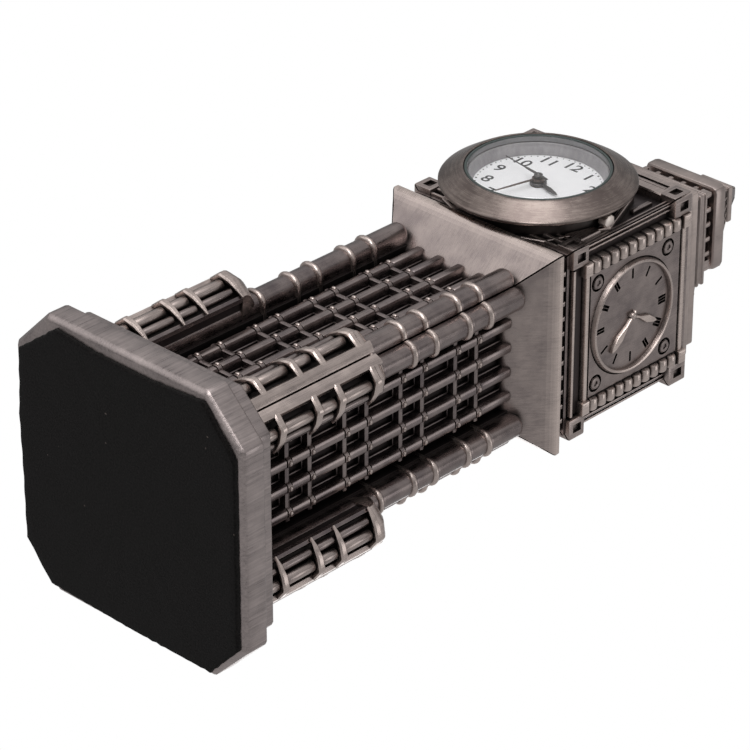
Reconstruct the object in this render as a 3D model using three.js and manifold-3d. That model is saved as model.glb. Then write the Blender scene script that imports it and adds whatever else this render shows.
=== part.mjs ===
// Miniature clock tower: a cast-metal souvenir of a Gothic clock tower with a working quartz watch.
//
// The tower stands on +Z with its origin at the middle of the felt it stands on. The watch faces -Y.
// Four cast walls, mitred at the corners, stand on an octagonal plinth. A roof, a lantern and a spire
// cap sit on top, and one tie rod clamps the stack together. The watch is a push-fit insert.
// All lengths are in millimetres.

import * as THREE from 'three';
import { mergeVertices } from 'three/addons/utils/BufferGeometryUtils.js';
import Module from 'manifold-3d';

const wasm = await Module();
wasm.setup();
const Solid = wasm.Manifold;

// ---------------------------------------------------------------- driving dimensions

const GAP = 0.3; // between castings that touch on the real tower
const FINE_GAP = 0.12; // between the small fixed pieces of the watch
const ROUND = 32; // sides of a visible round piece of the watch
const INNER_ROUND = 24; // sides of a round piece that sits inside it

// Base: felt, then an octagonal plinth in two tiers with a spigot that locates the walls.
const FELT = { half: 26.2, corner: 8.0, thick: 0.8 };
const PLINTH = { half: 27.5, corner: 8.3, bottom: 1.1, bevel: 0.5, top: 6.2, lip: 0.5 };
const TIER = { half: 24.9, corner: 6.5, top: 10.2 };
const SPIGOT = { half: 10.8, top: 13.4 };

// Wall castings. A wall is described by x along it, its distance "out" from the axis, and z.
const WALL = { bottom: 10.5, inner: 11.6, face: 13.1 };
const RIB = { spacing: 4.93, count: 4, width: 2.2, out: 14.9, top: 81.4 };
const BAR = { pitch: 13.95, first: 10.25, pairGap: 5.45, pairs: 5, width: 1.6, out: 14.3 };
const COLUMN = { x: 12.8, halfWidth: 2.2, shoulder: 15.9, out: 17.6, ring: 0.45, ringHeight: 1.3 };
const TURRET = { inner: 9.9, out: 22.3, seam: 16.8, top: 39.6, capTop: 41.4, inset: 0.8, band: 1.8 };
const COLLAR = { bottom: 80.9, edge: 86.5, top: 87.7, half: 20.3 };
const STAGE = { inner: 16.2, face: 17.8, half: 19.5, bottom: 90.9, top: 123.8, block: 4.0 };
const FIELD = { half: 12.6, out: 19.2, bottom: 96.4, top: 120.4 };
const BORDER = { x: 14.15, width: 2.3, out: 19.9, bottom: 93.8, top: 123.0 };
const SIDE_DIAL = { z: 107.8, outer: 11.2, inner: 10.2, out: 20.3, bossX: 10.1, bossZ: 9.2, boss: 1.8 };

// Roof, lantern and spire, square in plan.
const ROOF = { foot: 16.9, cornice: 15.9, corniceZ: 127.4, slopeZ: 130.6, neck: 9.1, neckZ: 138.2 };
const ROOF_BAND = { half: 9.7, top: 140.6 };
const LANTERN = { core: 6.4, half: 8.3, post: 1.5, postsPerSide: 5, top: 143.9 };
const CAP = { half: 8.8, bottom: 144.2, top: 147.4, roof: 6.3, shoulderZ: 149.4, tip: 1.3, height: 160.2 };

// Tie rod with its nut and washer, sunk in the plinth under the felt.
const ROD = { radius: 1.5, hole: 1.9, bottom: 1.6, top: 151 };
const NUT = { radius: 3.2, bottom: 1.9, top: 4.3, recess: 5.6, recessRadius: 4.6 };

// Watch insert, about its own axis. "out" is again the distance from the tower's axis.
const WATCH_Z = 103.2;
const SEAT = { hole: 14.35, rim: 15.0, out: 18.3 };
const CASE = { bore: 13.1, neck: 13.6, flange: 14.9, back: 12.9, step: 18.7, front: 21.9 };
const BEZEL = { outer: 18.25, inner: 13.6, back: 22.2, rim: 23.3, front: 25.4 };
const CRYSTAL = { radius: 12.9, back: 24.0, front: 25.2 };
const DIAL = { radius: 12.9, hole: 1.5, back: 21.3, front: 21.6 };
const HAND_THICK = 0.25;
const HANDS = {
  hour: { out: 22.05, reach: 6.4, width: 1.3, hub: 1.6, bore: 1.17, angle: 106 },
  minute: { out: 22.75, reach: 9.4, width: 1.0, hub: 1.2, bore: 0.72, angle: 194 },
  second: { out: 23.45, reach: 9.6, width: 0.4, hub: 0.8, bore: 0.34, angle: 280 },
};
const ARBORS = {
  hour: { inner: 0.9, outer: 1.05, back: 20.5 },
  minute: { inner: 0.45, outer: 0.6, back: 19.9 },
  second: { inner: 0, outer: 0.22, back: 19.3 },
};
const MOVEMENT = { radius: 10.6, back: 17.2, front: 20.2, ring: 12.9, pocket: 1.6 };
const STEM = { out: 20.0, radius: 0.4, tunnel: 0.75, inner: 6.0, outer: 15.3 };
const CROWN = { radius: 1.35, inner: 15.4, outer: 17.3, flutes: 12 };

// ---------------------------------------------------------------- materials

const metal = (color, roughness) => new THREE.MeshStandardMaterial({ color, roughness, metalness: 1 });
const plain = (color, roughness) => new THREE.MeshStandardMaterial({ color, roughness, metalness: 0 });

// ---------------------------------------------------------------- shape helpers

// A closed three.js geometry becomes a solid once its seams are welded.
function toSolid(geometry) {
  const bare = geometry.index ? geometry.toNonIndexed() : geometry.clone();
  bare.deleteAttribute('normal');
  bare.deleteAttribute('uv');
  const welded = mergeVertices(bare, 1e-4);
  const corners = welded.index.array;
  const triangles = [];
  for (let i = 0; i < corners.length; i += 3) {
    const [a, b, c] = corners.slice(i, i + 3);
    if (a !== b && b !== c && c !== a) triangles.push(a, b, c);
  }
  return new Solid(new wasm.Mesh({
    numProp: 3,
    vertProperties: new Float32Array(welded.attributes.position.array),
    triVerts: new Uint32Array(triangles),
  }));
}

function toGeometry(solid) {
  const mesh = solid.getMesh();
  const geometry = new THREE.BufferGeometry();
  geometry.setAttribute('position', new THREE.BufferAttribute(mesh.vertProperties, 3));
  geometry.setIndex(new THREE.BufferAttribute(mesh.triVerts, 1));
  geometry.computeVertexNormals();
  return geometry;
}

const join = (...solids) => Solid.union(solids.flat());

// Twice the signed area of a closed outline, positive when it runs anticlockwise.
function turning(points) {
  return points.reduce((sum, [x, y], i) => {
    const [nextX, nextY] = points[(i + 1) % points.length];
    return sum + x * nextY - nextX * y;
  }, 0);
}

function outline(points) {
  return new THREE.Shape(points.map(([x, y]) => new THREE.Vector2(x, y)));
}

// An upright prism over an outline in plan.
function prism(points, bottom, top) {
  const geometry = new THREE.ExtrudeGeometry(outline(points), { depth: top - bottom, bevelEnabled: false });
  return toSolid(geometry.translate(0, 0, bottom));
}

// The same for a wall, whose outline is given as [x, out] with the wall facing -Y.
const wallPrism = (points, bottom, top) => prism(points.map(([x, out]) => [x, -out]), bottom, top);

function wallBox(x0, x1, out0, out1, bottom, top) {
  const geometry = new THREE.BoxGeometry(x1 - x0, out1 - out0, top - bottom);
  return toSolid(geometry.translate((x0 + x1) / 2, -(out0 + out1) / 2, (bottom + top) / 2));
}

// A moulding that runs along a wall: its section is given as [out, z].
function moulding(section, halfLength) {
  const shape = outline(section.map(([out, z]) => [-out, z]));
  const geometry = new THREE.ExtrudeGeometry(shape, { depth: 2 * halfLength, bevelEnabled: false });
  const alongX = new THREE.Matrix4().set(0, 0, 1, -halfLength, 1, 0, 0, 0, 0, 1, 0, 0, 0, 0, 0, 1);
  return toSolid(geometry.applyMatrix4(alongX));
}

// A turned solid about Y. The profile is [radius, y], closed on itself or on the axis.
function turned(profile, sides) {
  const points = turning(profile) > 0 ? profile : [...profile].reverse();
  const onAxis = points.some(([radius]) => radius === 0);
  const first = points.findIndex(([radius], i) => {
    return radius === 0 && points[(i + 1) % points.length][0] > 0;
  });
  const ordered = onAxis ? [...points.slice(first), ...points.slice(0, first)] : [...points, points[0]];
  return toSolid(new THREE.LatheGeometry(ordered.map(([r, y]) => new THREE.Vector2(r, y)), sides));
}

// A square or round solid that stands on Z. The profile is [half width or radius, z].
function squareTower(profile) {
  const corner = Math.SQRT2;
  const points = profile.map(([half, z]) => [half * corner, z]);
  return turned(points, 4).rotate([90, 0, 45]);
}

const upright = (profile, sides) => turned(profile, sides).rotate([90, 0, 0]);

const tube = (inner, outer, low, high) => [[inner, low], [outer, low], [outer, high], [inner, high]];

// A watch part turned about the watch's axis. The profile is [radius, out].
const watchTurned = (profile, sides = ROUND) => turned(profile.map(([r, out]) => [r, -out]), sides);

const watchTube = (inner, outer, back, front, sides) => watchTurned(tube(inner, outer, back, front), sides);

function rodAlongX(radius, x0, x1, out, sides) {
  const geometry = new THREE.CylinderGeometry(radius, radius, x1 - x0, sides);
  geometry.rotateZ(Math.PI / 2);
  return toSolid(geometry.translate((x0 + x1) / 2, -out, 0));
}

function octagon(half, corner) {
  const long = half - corner;
  const quarter = [[half, -long], [half, long]];
  return [0, 1, 2, 3].flatMap((turn) => quarter.map(([x, y]) => {
    return [[x, y], [-y, x], [-x, -y], [y, -x]][turn];
  }));
}

// ---------------------------------------------------------------- base

function feltPad() {
  return prism(octagon(FELT.half, FELT.corner), 0, FELT.thick);
}

function plinth() {
  const step = (half, corner, bottom, top) => prism(octagon(half, corner), bottom, top);
  const foot = step(PLINTH.half - PLINTH.bevel, PLINTH.corner, PLINTH.bottom, PLINTH.bottom + PLINTH.bevel);
  const body = step(PLINTH.half, PLINTH.corner, PLINTH.bottom + PLINTH.bevel, PLINTH.top - PLINTH.lip);
  const lip = step(PLINTH.half - PLINTH.lip, PLINTH.corner, PLINTH.top - PLINTH.lip, PLINTH.top);
  const tier = step(TIER.half, TIER.corner, PLINTH.top, TIER.top);
  const spigot = squareTower([[0, TIER.top], [SPIGOT.half, TIER.top], [SPIGOT.half, SPIGOT.top], [0, SPIGOT.top]]);
  const rodHole = upright([[0, 0], [ROD.hole, 0], [ROD.hole, 20], [0, 20]], 16);
  const nutRecess = upright([[0, 0], [NUT.recessRadius, 0], [NUT.recessRadius, NUT.recess], [0, NUT.recess]], 20);
  return join(foot, body, lip, tier, spigot).subtract(rodHole).subtract(nutRecess);
}

// ---------------------------------------------------------------- walls

// Heights of the paired bands that ring the tower. Lower and upper band of each pair.
const bandHeights = Array.from({ length: BAR.pairs }, (_, pair) => {
  const low = BAR.first + pair * BAR.pitch;
  return [low, low + BAR.pairGap];
}).flat();

function lattice() {
  const parts = [wallBox(-12, 12, WALL.inner, WALL.face, WALL.bottom, COLLAR.top)];
  for (let i = 0; i < RIB.count; i += 1) {
    const x = (i - (RIB.count - 1) / 2) * RIB.spacing;
    parts.push(wallBox(x - RIB.width / 2, x + RIB.width / 2, WALL.face - 0.5, RIB.out, WALL.bottom, RIB.top));
  }
  for (const z of bandHeights.slice(1)) {
    const half = BAR.width / 2;
    parts.push(wallBox(-COLUMN.x, COLUMN.x, WALL.face - 0.5, BAR.out, z - half, z + half));
  }
  return parts;
}

// Outline of a corner half-column, grown by "extra" for its rings.
function columnOutline(side, extra) {
  const { x, halfWidth, shoulder, out } = COLUMN;
  const wide = halfWidth + extra;
  return [
    [x - wide, WALL.inner],
    [x - wide, shoulder],
    [x - 1.3, out + extra],
    [x + 1.3, out + extra],
    [x + wide, shoulder + extra],
    [x + wide - 1.0, WALL.inner],
  ].map(([px, po]) => [px * side, po]);
}

function column(side) {
  const shaft = wallPrism(columnOutline(side, 0), WALL.bottom, RIB.top);
  const rings = bandHeights.filter((z) => z > TURRET.top).map((z) => {
    return wallPrism(columnOutline(side, COLUMN.ring), z - COLUMN.ringHeight / 2, z + COLUMN.ringHeight / 2);
  });
  return [shaft, ...rings];
}

// Half of a corner turret: a part-octagon pier that belongs to this wall up to the mitre.
function turretOutline(side, inset) {
  const { inner, out, seam } = TURRET;
  return [
    [inner + inset, WALL.inner],
    [inner + inset, out - 2.8],
    [inner + 2.6, out - 0.3 - inset],
    [inner + 5.7, out - inset],
    [seam + 1.4 - inset, out - 1.9 - inset],
    [seam - 0.6, seam - 1.2],
    [WALL.inner, WALL.inner],
  ].map(([px, po]) => [px * side, po]);
}

function turret(side) {
  const core = wallPrism(turretOutline(side, TURRET.inset), WALL.bottom, TURRET.capTop);
  const cap = wallPrism(turretOutline(side, 0), TURRET.top - 1, TURRET.top);
  const bands = bandHeights.filter((z) => z < TURRET.top).map((z) => {
    const low = Math.max(z - TURRET.band / 2, WALL.bottom);
    return wallPrism(turretOutline(side, 0), low, z + TURRET.band / 2);
  });
  return [core, cap, ...bands];
}

function collar() {
  const section = [
    [WALL.inner, COLLAR.bottom - 1.5],
    [15.4, COLLAR.bottom],
    [COLLAR.half, COLLAR.edge],
    [COLLAR.half, COLLAR.top],
    [STAGE.face, COLLAR.top + 0.2],
    [STAGE.face, STAGE.bottom + 1],
    [STAGE.inner, STAGE.bottom + 1],
    [STAGE.inner, COLLAR.top - 0.8],
    [WALL.inner, COLLAR.bottom + 1.5],
  ];
  return moulding(section, COLLAR.half + 1);
}

// The plain box of the clock stage: panel, corner posts and corner blocks.
function stageFrame() {
  const { inner, face, half, bottom, top, block } = STAGE;
  const parts = [wallBox(-half, half, inner, face, COLLAR.top, top)];
  for (const side of [-1, 1]) {
    const strip = (x0, x1, out0, out1, low, high) => {
      const [left, right] = [x0 * side, x1 * side].sort((a, b) => a - b);
      return wallBox(left, right, out0, out1, low, high);
    };
    parts.push(strip(half - 1.9, half, inner, half - 1.1, bottom, top));
    parts.push(strip(half - block, half, inner, half, bottom, bottom + block));
    parts.push(strip(half - block, half, inner, half, top - block - 1.2, top));
  }
  return parts;
}

// The other three walls carry a cast clock face inside a beaded frame.
function sideStage() {
  const parts = [...stageFrame()];
  const { face } = STAGE;
  parts.push(wallBox(-FIELD.half, FIELD.half, face - 0.5, FIELD.out, FIELD.bottom, FIELD.top));
  for (const side of [-1, 1]) {
    const x = BORDER.x * side;
    const half = BORDER.width / 2;
    parts.push(wallBox(x - half, x + half, face - 0.5, BORDER.out, BORDER.bottom, BORDER.top));
  }
  for (const z of [92.1, 95.1, 121.9]) {
    parts.push(wallBox(-15.4, 15.4, face - 0.5, FIELD.out, z - 0.5, z + 0.5));
  }
  parts.push(dialRing(), ...dialBosses(), ...castHands());
  return parts;
}

const atSideDial = (solid) => solid.translate([0, 0, SIDE_DIAL.z]);

function dialRing() {
  const { outer, inner, out } = SIDE_DIAL;
  return atSideDial(watchTube(inner, outer, STAGE.face, out, 20));
}

function dialBosses() {
  const disc = watchTurned([[0, STAGE.face], [SIDE_DIAL.boss, STAGE.face], [SIDE_DIAL.boss, 19.9], [0, 19.9]], 6);
  return [[-1, -1], [1, -1], [-1, 1], [1, 1]].map(([sx, sz]) => {
    return atSideDial(disc.translate([sx * SIDE_DIAL.bossX, 0, sz * SIDE_DIAL.bossZ]));
  });
}

function castHands() {
  const hand = (reach, width, angle) => {
    const blade = wallBox(-width / 2, width / 2, STAGE.face, FIELD.out + 0.6, -1.2, reach);
    return atSideDial(blade.rotate([0, angle, 0]));
  };
  return [hand(8.6, 1.0, 130), hand(5.2, 1.3, 33)];
}

// The front wall is bored for the watch, with a raised seat round the hole and two slotted bars.
function frontStage() {
  const { face, half, top } = STAGE;
  const bar = wallBox(-half, half, face - 0.5, half, top - 4.0, top);
  const slot = wallBox(-13.5, 13.5, half - 0.7, half + 1, top - 2.6, top - 1.6);
  const seat = watchTube(SEAT.hole - 1, SEAT.rim, STAGE.inner, SEAT.out).translate([0, 0, WATCH_Z]);
  return [join(...stageFrame(), bar, seat).subtract(slot)];
}

// Everything outside the two 45 degree mitre planes is cut away.
function mitred(solid) {
  const clearance = GAP / Math.SQRT2;
  const wedge = wallPrism([[0, clearance], [40, 40 + clearance], [-40, 40 + clearance]], 0, 200);
  return solid.intersect(wedge);
}

function wall(stage) {
  const parts = [...lattice(), collar(), ...stage];
  for (const side of [-1, 1]) parts.push(...column(side), ...turret(side));
  return mitred(join(parts));
}

function frontWall() {
  const bore = watchTurned([[0, 5], [SEAT.hole, 5], [SEAT.hole, 30], [0, 30]]).translate([0, 0, WATCH_Z]);
  return wall(frontStage()).subtract(bore);
}

// ---------------------------------------------------------------- roof

function rodBore(from, to) {
  return upright([[0, from], [ROD.hole, from], [ROD.hole, to], [0, to]], 16);
}

function roofCasting() {
  const foot = STAGE.top + GAP;
  const plugHalf = STAGE.inner - 0.6;
  return squareTower([
    [0, foot - 3],
    [plugHalf, foot - 3],
    [plugHalf, foot],
    [ROOF.foot, foot],
    [ROOF.foot, foot + 1.6],
    [ROOF.cornice - 0.7, foot + 2.1],
    [ROOF.cornice - 0.7, ROOF.corniceZ],
    [ROOF.cornice, ROOF.corniceZ + 0.3],
    [ROOF.cornice, ROOF.slopeZ - 0.6],
    [ROOF.cornice - 1.2, ROOF.slopeZ],
    [ROOF.neck, ROOF.neckZ],
    [ROOF_BAND.half, ROOF.neckZ + 0.4],
    [ROOF_BAND.half, ROOF_BAND.top],
    [0, ROOF_BAND.top],
  ]).subtract(rodBore(100, 160));
}

// An arcade of square posts round a solid core, open between the posts.
function lanternGallery() {
  const foot = ROOF_BAND.top + GAP;
  const { core, half, post, postsPerSide, top } = LANTERN;
  const parts = [
    squareTower([[0, foot], [core, foot], [core, top], [0, top]]),
    squareTower([[0, foot], [half, foot], [half, foot + 0.5], [0, foot + 0.5]]),
  ];
  const step = (2 * half - post) / (postsPerSide - 1);
  for (let turn = 0; turn < 4; turn += 1) {
    for (let i = 0; i < postsPerSide - 1; i += 1) {
      const x = -half + i * step;
      const upstand = wallBox(x, x + post, core - 0.5, half, foot, top);
      parts.push(upstand.rotate([0, 0, 90 * turn]));
    }
  }
  return join(parts).subtract(rodBore(100, 160));
}

function spireCap() {
  const { half, bottom, top, roof, shoulderZ, tip, height } = CAP;
  return squareTower([
    [0, bottom],
    [half - 0.3, bottom],
    [half, bottom + 0.5],
    [half, top - 0.5],
    [half - 0.5, top],
    [roof + 0.4, top],
    [roof, shoulderZ],
    [3.4, 154.4],
    [3.8, 154.8],
    [3.8, 155.6],
    [3.0, 156.0],
    [tip, height - 0.4],
    [tip - 0.4, height],
    [0, height],
  ]).subtract(rodBore(100, ROD.top + GAP));
}

function tieRod() {
  const { radius, bottom, top } = ROD;
  return upright([[0, bottom], [radius, bottom], [radius, top], [0, top]], 16);
}

const tieRodNut = () => upright(tube(ROD.radius + GAP, NUT.radius, NUT.bottom, NUT.top), 6);
const tieRodWasher = () => upright(tube(ROD.radius + GAP, 4.1, NUT.top + GAP, NUT.recess - GAP), 16);

// ---------------------------------------------------------------- watch

function watchCase() {
  const { bore, neck, flange, back, step, front } = CASE;
  const body = watchTurned([
    [bore, back], [neck, back], [neck, step], [flange, step], [flange, front], [bore, front],
  ]);
  return body.subtract(rodAlongX(STEM.tunnel, 10, 20, STEM.out, 12));
}

function bezel() {
  const { outer, inner, back, rim, front } = BEZEL;
  return watchTurned([
    [inner, back], [outer - 0.4, back], [outer, back + 0.3], [outer, rim], [outer - 0.5, rim + 0.5],
    [inner + 0.6, front], [inner, front - 0.2],
  ]);
}

function crystal() {
  const { radius, back, front } = CRYSTAL;
  return watchTurned([[0, back], [radius, back], [radius, front - 0.2], [radius - 0.2, front], [0, front]]);
}

const crystalGasket = () => watchTube(CRYSTAL.radius + 0.1, BEZEL.inner - 0.1, CRYSTAL.back, CRYSTAL.front - 0.2);

// Conical ring between the dial and the crystal.
function reflectorRing() {
  const back = DIAL.front + FINE_GAP;
  const front = CRYSTAL.back - FINE_GAP;
  return watchTurned([[12.0, back], [13.0, back], [13.0, front], [12.7, front]]);
}

function dial() {
  return watchTube(DIAL.hole, DIAL.radius, DIAL.back, DIAL.front);
}

function stemTunnel() {
  return rodAlongX(STEM.tunnel, STEM.inner - 0.3, 20, STEM.out, 12);
}

function movementRing() {
  const back = MOVEMENT.back + 0.6;
  return watchTube(MOVEMENT.radius + 0.15, MOVEMENT.ring, back, DIAL.back - FINE_GAP, INNER_ROUND).subtract(stemTunnel());
}

// The main plate carries the sealed gear train. A slot takes the stem and the setting lever.
function movementPlate() {
  const { radius, back, front, pocket } = MOVEMENT;
  const plate = watchTurned([[0, back], [radius, back], [radius, front], [0, front]], INNER_ROUND);
  const well = watchTurned([[0, 18.9], [pocket, 18.9], [pocket, 22], [0, 22]], 16);
  const slot = wallBox(3.6, 12, 18.7, 22, -1.3, 1.3);
  return plate.subtract(join(well, slot));
}

function coil() {
  const geometry = new THREE.CylinderGeometry(1.2, 1.2, 9, 10).rotateZ(Math.PI / 2);
  return toSolid(geometry.translate(-1.5, -15.7, 6.4));
}

function battery() {
  const cell = watchTurned([[0, 14.6], [2.6, 14.6], [2.6, 15], [3.4, 15], [3.4, 16.9], [0, 16.9]], 16);
  return cell.translate([-3.6, 0, -3.4]);
}

function batteryClip() {
  const strap = wallBox(-8.2, 3.2, 14.05, 14.3, -4.1, -2.7);
  const foot = wallBox(2.4, 3.2, 14.05, 16.9, -4.1, -2.7);
  return join(strap, foot);
}

function caseBack() {
  const front = CASE.back - GAP;
  return watchTurned([[0, 11.5], [12.6, 11.5], [13.5, 11.8], [13.5, front], [0, front]], INNER_ROUND);
}

const backGasket = () => watchTube(12.3, 12.9, CASE.back, CASE.back + 0.5, INNER_ROUND);
const gripRing = () => watchTube(CASE.neck + 0.1, SEAT.hole - 0.15, 16.5, 18.1);

function settingLever() {
  return wallBox(4.4, STEM.inner - 0.3, 19.2, 20.8, -0.9, 0.9);
}

function windingStem() {
  return rodAlongX(STEM.radius, STEM.inner, STEM.outer, STEM.out, 10);
}

function crown() {
  const { radius, inner, outer, flutes } = CROWN;
  const points = [];
  for (let i = 0; i < flutes * 2; i += 1) {
    const angle = (i / (flutes * 2)) * 2 * Math.PI;
    const r = i % 2 ? radius : radius - 0.15;
    points.push([r * Math.cos(angle), r * Math.sin(angle)]);
  }
  const knob = prism(points, inner, outer).rotate([0, 90, 0]);
  return knob.translate([0, -STEM.out, 0]);
}

// A hand points at twelve and lies flat at its own height, with a round hub on its arbor.
function hand({ out, reach, width, hub, bore }) {
  const blade = wallPrism([[-width / 2, 0], [width / 2, 0], [width / 3, reach], [-width / 3, reach]], 0, HAND_THICK);
  const flat = blade.rotate([90, 0, 0]).scale([1, 1, -1]).translate([0, -out, 0]);
  const disc = watchTurned([[0, out], [hub, out], [hub, out + HAND_THICK], [0, out + HAND_THICK]], 12);
  const hole = watchTurned([[0, out - 1], [bore, out - 1], [bore, out + 2], [0, out + 2]], 10);
  return join(flat, disc).subtract(hole);
}

function arbor({ inner, outer, back }, { out }) {
  const front = out + HAND_THICK;
  if (inner > 0) return watchTube(inner, outer, back, front, 10);
  return watchTurned([[0, back], [outer, back], [outer, front], [0, front]], 6);
}

// ---------------------------------------------------------------- assembly

const PEWTER = [0x6e6664, 0.42];
const DARK_PEWTER = [0x4b4546, 0.45];

function piece(name, solid, material) {
  const mesh = new THREE.Mesh(toGeometry(solid), material);
  mesh.name = name;
  return mesh;
}

function towerGroup() {
  const tower = new THREE.Group();
  tower.add(
    piece('felt_pad', feltPad(), plain(0x0b0b0c, 1)),
    piece('base_plinth', plinth(), metal(0x857b77, 0.38)),
    piece('roof_casting', roofCasting(), metal(...PEWTER)),
    piece('lantern_gallery', lanternGallery(), metal(...DARK_PEWTER)),
    piece('spire_cap', spireCap(), metal(...PEWTER)),
    piece('tie_rod', tieRod(), metal(0x9a9a9a, 0.35)),
    piece('tie_rod_nut', tieRodNut(), metal(0xa8a8a4, 0.3)),
    piece('tie_rod_washer', tieRodWasher(), metal(0xa8a8a4, 0.35)),
  );
  const sides = [['right_wall', 90], ['back_wall', 180], ['left_wall', 270]];
  tower.add(piece('front_wall', frontWall(), metal(...DARK_PEWTER)));
  const sideWall = wall(sideStage());
  for (const [name, turn] of sides) {
    const mesh = piece(name, sideWall, metal(...DARK_PEWTER));
    mesh.rotation.z = THREE.MathUtils.degToRad(turn);
    tower.add(mesh);
  }
  return tower;
}

function handPieces() {
  const group = new THREE.Group();
  const colours = { hour: 0x3a3a3e, minute: 0x3a3a3e, second: 0x6b5148 };
  const arborNames = { hour: 'hour_wheel', minute: 'cannon_pinion', second: 'second_arbor' };
  for (const [name, spec] of Object.entries(HANDS)) {
    const mesh = piece(`${name}_hand`, hand(spec), metal(colours[name], 0.4));
    mesh.rotation.y = THREE.MathUtils.degToRad(spec.angle);
    group.add(mesh, piece(arborNames[name], arbor(ARBORS[name], spec), metal(0xb59a5a, 0.35)));
  }
  return group;
}

function watchGroup() {
  const watch = new THREE.Group();
  watch.position.z = WATCH_Z;
  watch.add(
    piece('watch_case', watchCase(), metal(0x3c3838, 0.4)),
    piece('grip_ring', gripRing(), plain(0x161616, 0.8)),
    piece('bezel', bezel(), metal(0x9c928b, 0.33)),
    piece('crystal_gasket', crystalGasket(), plain(0x5c6664, 0.6)),
    piece('crystal', crystal(), new THREE.MeshStandardMaterial({
      color: 0xf4f8f8, roughness: 0.05, metalness: 0, transparent: true, opacity: 0.25,
    })),
    piece('reflector_ring', reflectorRing(), metal(0x8e8b8d, 0.45)),
    piece('dial', dial(), plain(0xeeeeee, 0.5)),
    piece('movement_ring', movementRing(), plain(0xe6e2d6, 0.6)),
    piece('movement_plate', movementPlate(), metal(0xc3b27a, 0.35)),
    piece('drive_coil', coil(), metal(0xb5693a, 0.4)),
    piece('battery', battery(), metal(0xc9c9c6, 0.3)),
    piece('battery_clip', batteryClip(), metal(0xbdbdb8, 0.3)),
    piece('back_gasket', backGasket(), plain(0x1a1a1a, 0.8)),
    piece('case_back', caseBack(), metal(0xb9b9b6, 0.3)),
    piece('setting_lever', settingLever(), metal(0xbdbdb8, 0.35)),
    piece('winding_stem', windingStem(), metal(0xb0b0ad, 0.3)),
    piece('crown', crown(), metal(0xa59c95, 0.3)),
    handPieces(),
  );
  return watch;
}

const model = new THREE.Group();
model.add(towerGroup(), watchGroup());

export default model;
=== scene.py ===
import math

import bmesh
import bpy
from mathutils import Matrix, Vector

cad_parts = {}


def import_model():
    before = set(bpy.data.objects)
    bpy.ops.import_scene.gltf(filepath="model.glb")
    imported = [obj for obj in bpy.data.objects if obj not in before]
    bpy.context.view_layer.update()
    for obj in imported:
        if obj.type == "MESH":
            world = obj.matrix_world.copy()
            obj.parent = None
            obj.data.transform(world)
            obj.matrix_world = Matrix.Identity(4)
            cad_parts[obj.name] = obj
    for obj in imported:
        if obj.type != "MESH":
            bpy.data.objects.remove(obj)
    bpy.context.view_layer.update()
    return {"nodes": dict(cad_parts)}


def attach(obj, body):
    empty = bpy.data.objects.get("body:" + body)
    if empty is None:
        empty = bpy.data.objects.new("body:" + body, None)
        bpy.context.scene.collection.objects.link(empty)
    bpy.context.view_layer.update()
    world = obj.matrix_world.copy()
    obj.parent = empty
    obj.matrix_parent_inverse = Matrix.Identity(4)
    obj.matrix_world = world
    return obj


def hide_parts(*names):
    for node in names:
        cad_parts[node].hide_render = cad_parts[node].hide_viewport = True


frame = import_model()

# Looks of the miniature clock tower. Shapes are worked out in millimetres, and become metres in
# Cast.piece(). A wall is described by x along it, its distance "out" from the tower's axis, and z;
# the front wall faces -Y. Each casting is a set of closed shells, with a tone on every face: 0 is
# blackened metal, 1 is metal worn bright, and tones below 0, down to -1, paint the face near black
# as painted shade for a recess or gap.

MM = 0.001

# ---------------------------------------------------------------- dimensions, in millimetres

MITRE_GAP = 0.21
BANDS = [10.25 + 13.95 * pair + step for pair in range(5) for step in (0.0, 5.45)]
RIBS = [-7.4, -2.47, 2.47, 7.4]
WALL_FOOT = 10.5
RIB_TOP = 80.2
COLUMN_X = 12.9
TURRET_TOP = 39.1
STAGE_FACE, STAGE_HALF, STAGE_TOP = 17.8, 19.5, 123.8
DIAL_Z = 107.8
STUDS = [(10.3 * sx, DIAL_Z + 9.7 * sz) for sx in (-1, 1) for sz in (-1, 1)]
WATCH_Z = 103.2
SEAT_HOLE = 14.35
STEM_OUT = 20.0

# The hands' angles, in degrees clockwise from twelve.
CAST_MINUTE, CAST_HOUR = 27, 136
HOUR, MINUTE, SECOND = 106, 194, 280
NUMBER_SIZE, NUMBER_RADIUS, MINUTE_RADIUS = 3.6, 9.55, 11.55


# ---------------------------------------------------------------- mesh helpers

def loft(rings, closed=False):
    """A closed shell through rings of points. The first and last ring are capped unless closed."""
    n = len(rings[0])
    verts = [tuple(point) for ring in rings for point in ring]
    faces = []
    last = len(rings) if closed else len(rings) - 1
    for k in range(last):
        a, b = k * n, (k + 1) % len(rings) * n
        faces += [[a + i, a + (i + 1) % n, b + (i + 1) % n, b + i] for i in range(n)]
    if not closed:
        faces += [list(range(n)), list(range((len(rings) - 1) * n, len(rings) * n))]
    return verts, faces


def box(x0, x1, out0, out1, z0, z1):
    ring = [(x0, out0), (x1, out0), (x1, out1), (x0, out1)]
    return loft([[(x, out, z) for x, out in ring] for z in (z0, z1)])


def prism(outline, stations):
    """An outline in x and out, lofted up z. Each station is z and how far it is drawn in."""
    return loft([[(x, out, z) for x, out in drawn_in(outline, inset)] for z, inset in stations])


def plate(outline, stations):
    """An outline in x and z, lofted outwards. Each station is out and how far it is drawn in."""
    return loft([[(x, out, z) for x, z in drawn_in(outline, inset)] for out, inset in stations])


def clockwise(points, degrees):
    """Points in x and z turned about their origin, clockwise to someone facing the wall."""
    c, s = math.cos(math.radians(degrees)), math.sin(math.radians(degrees))
    return [(x * c + z * s, z * c - x * s) for x, z in points]


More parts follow.
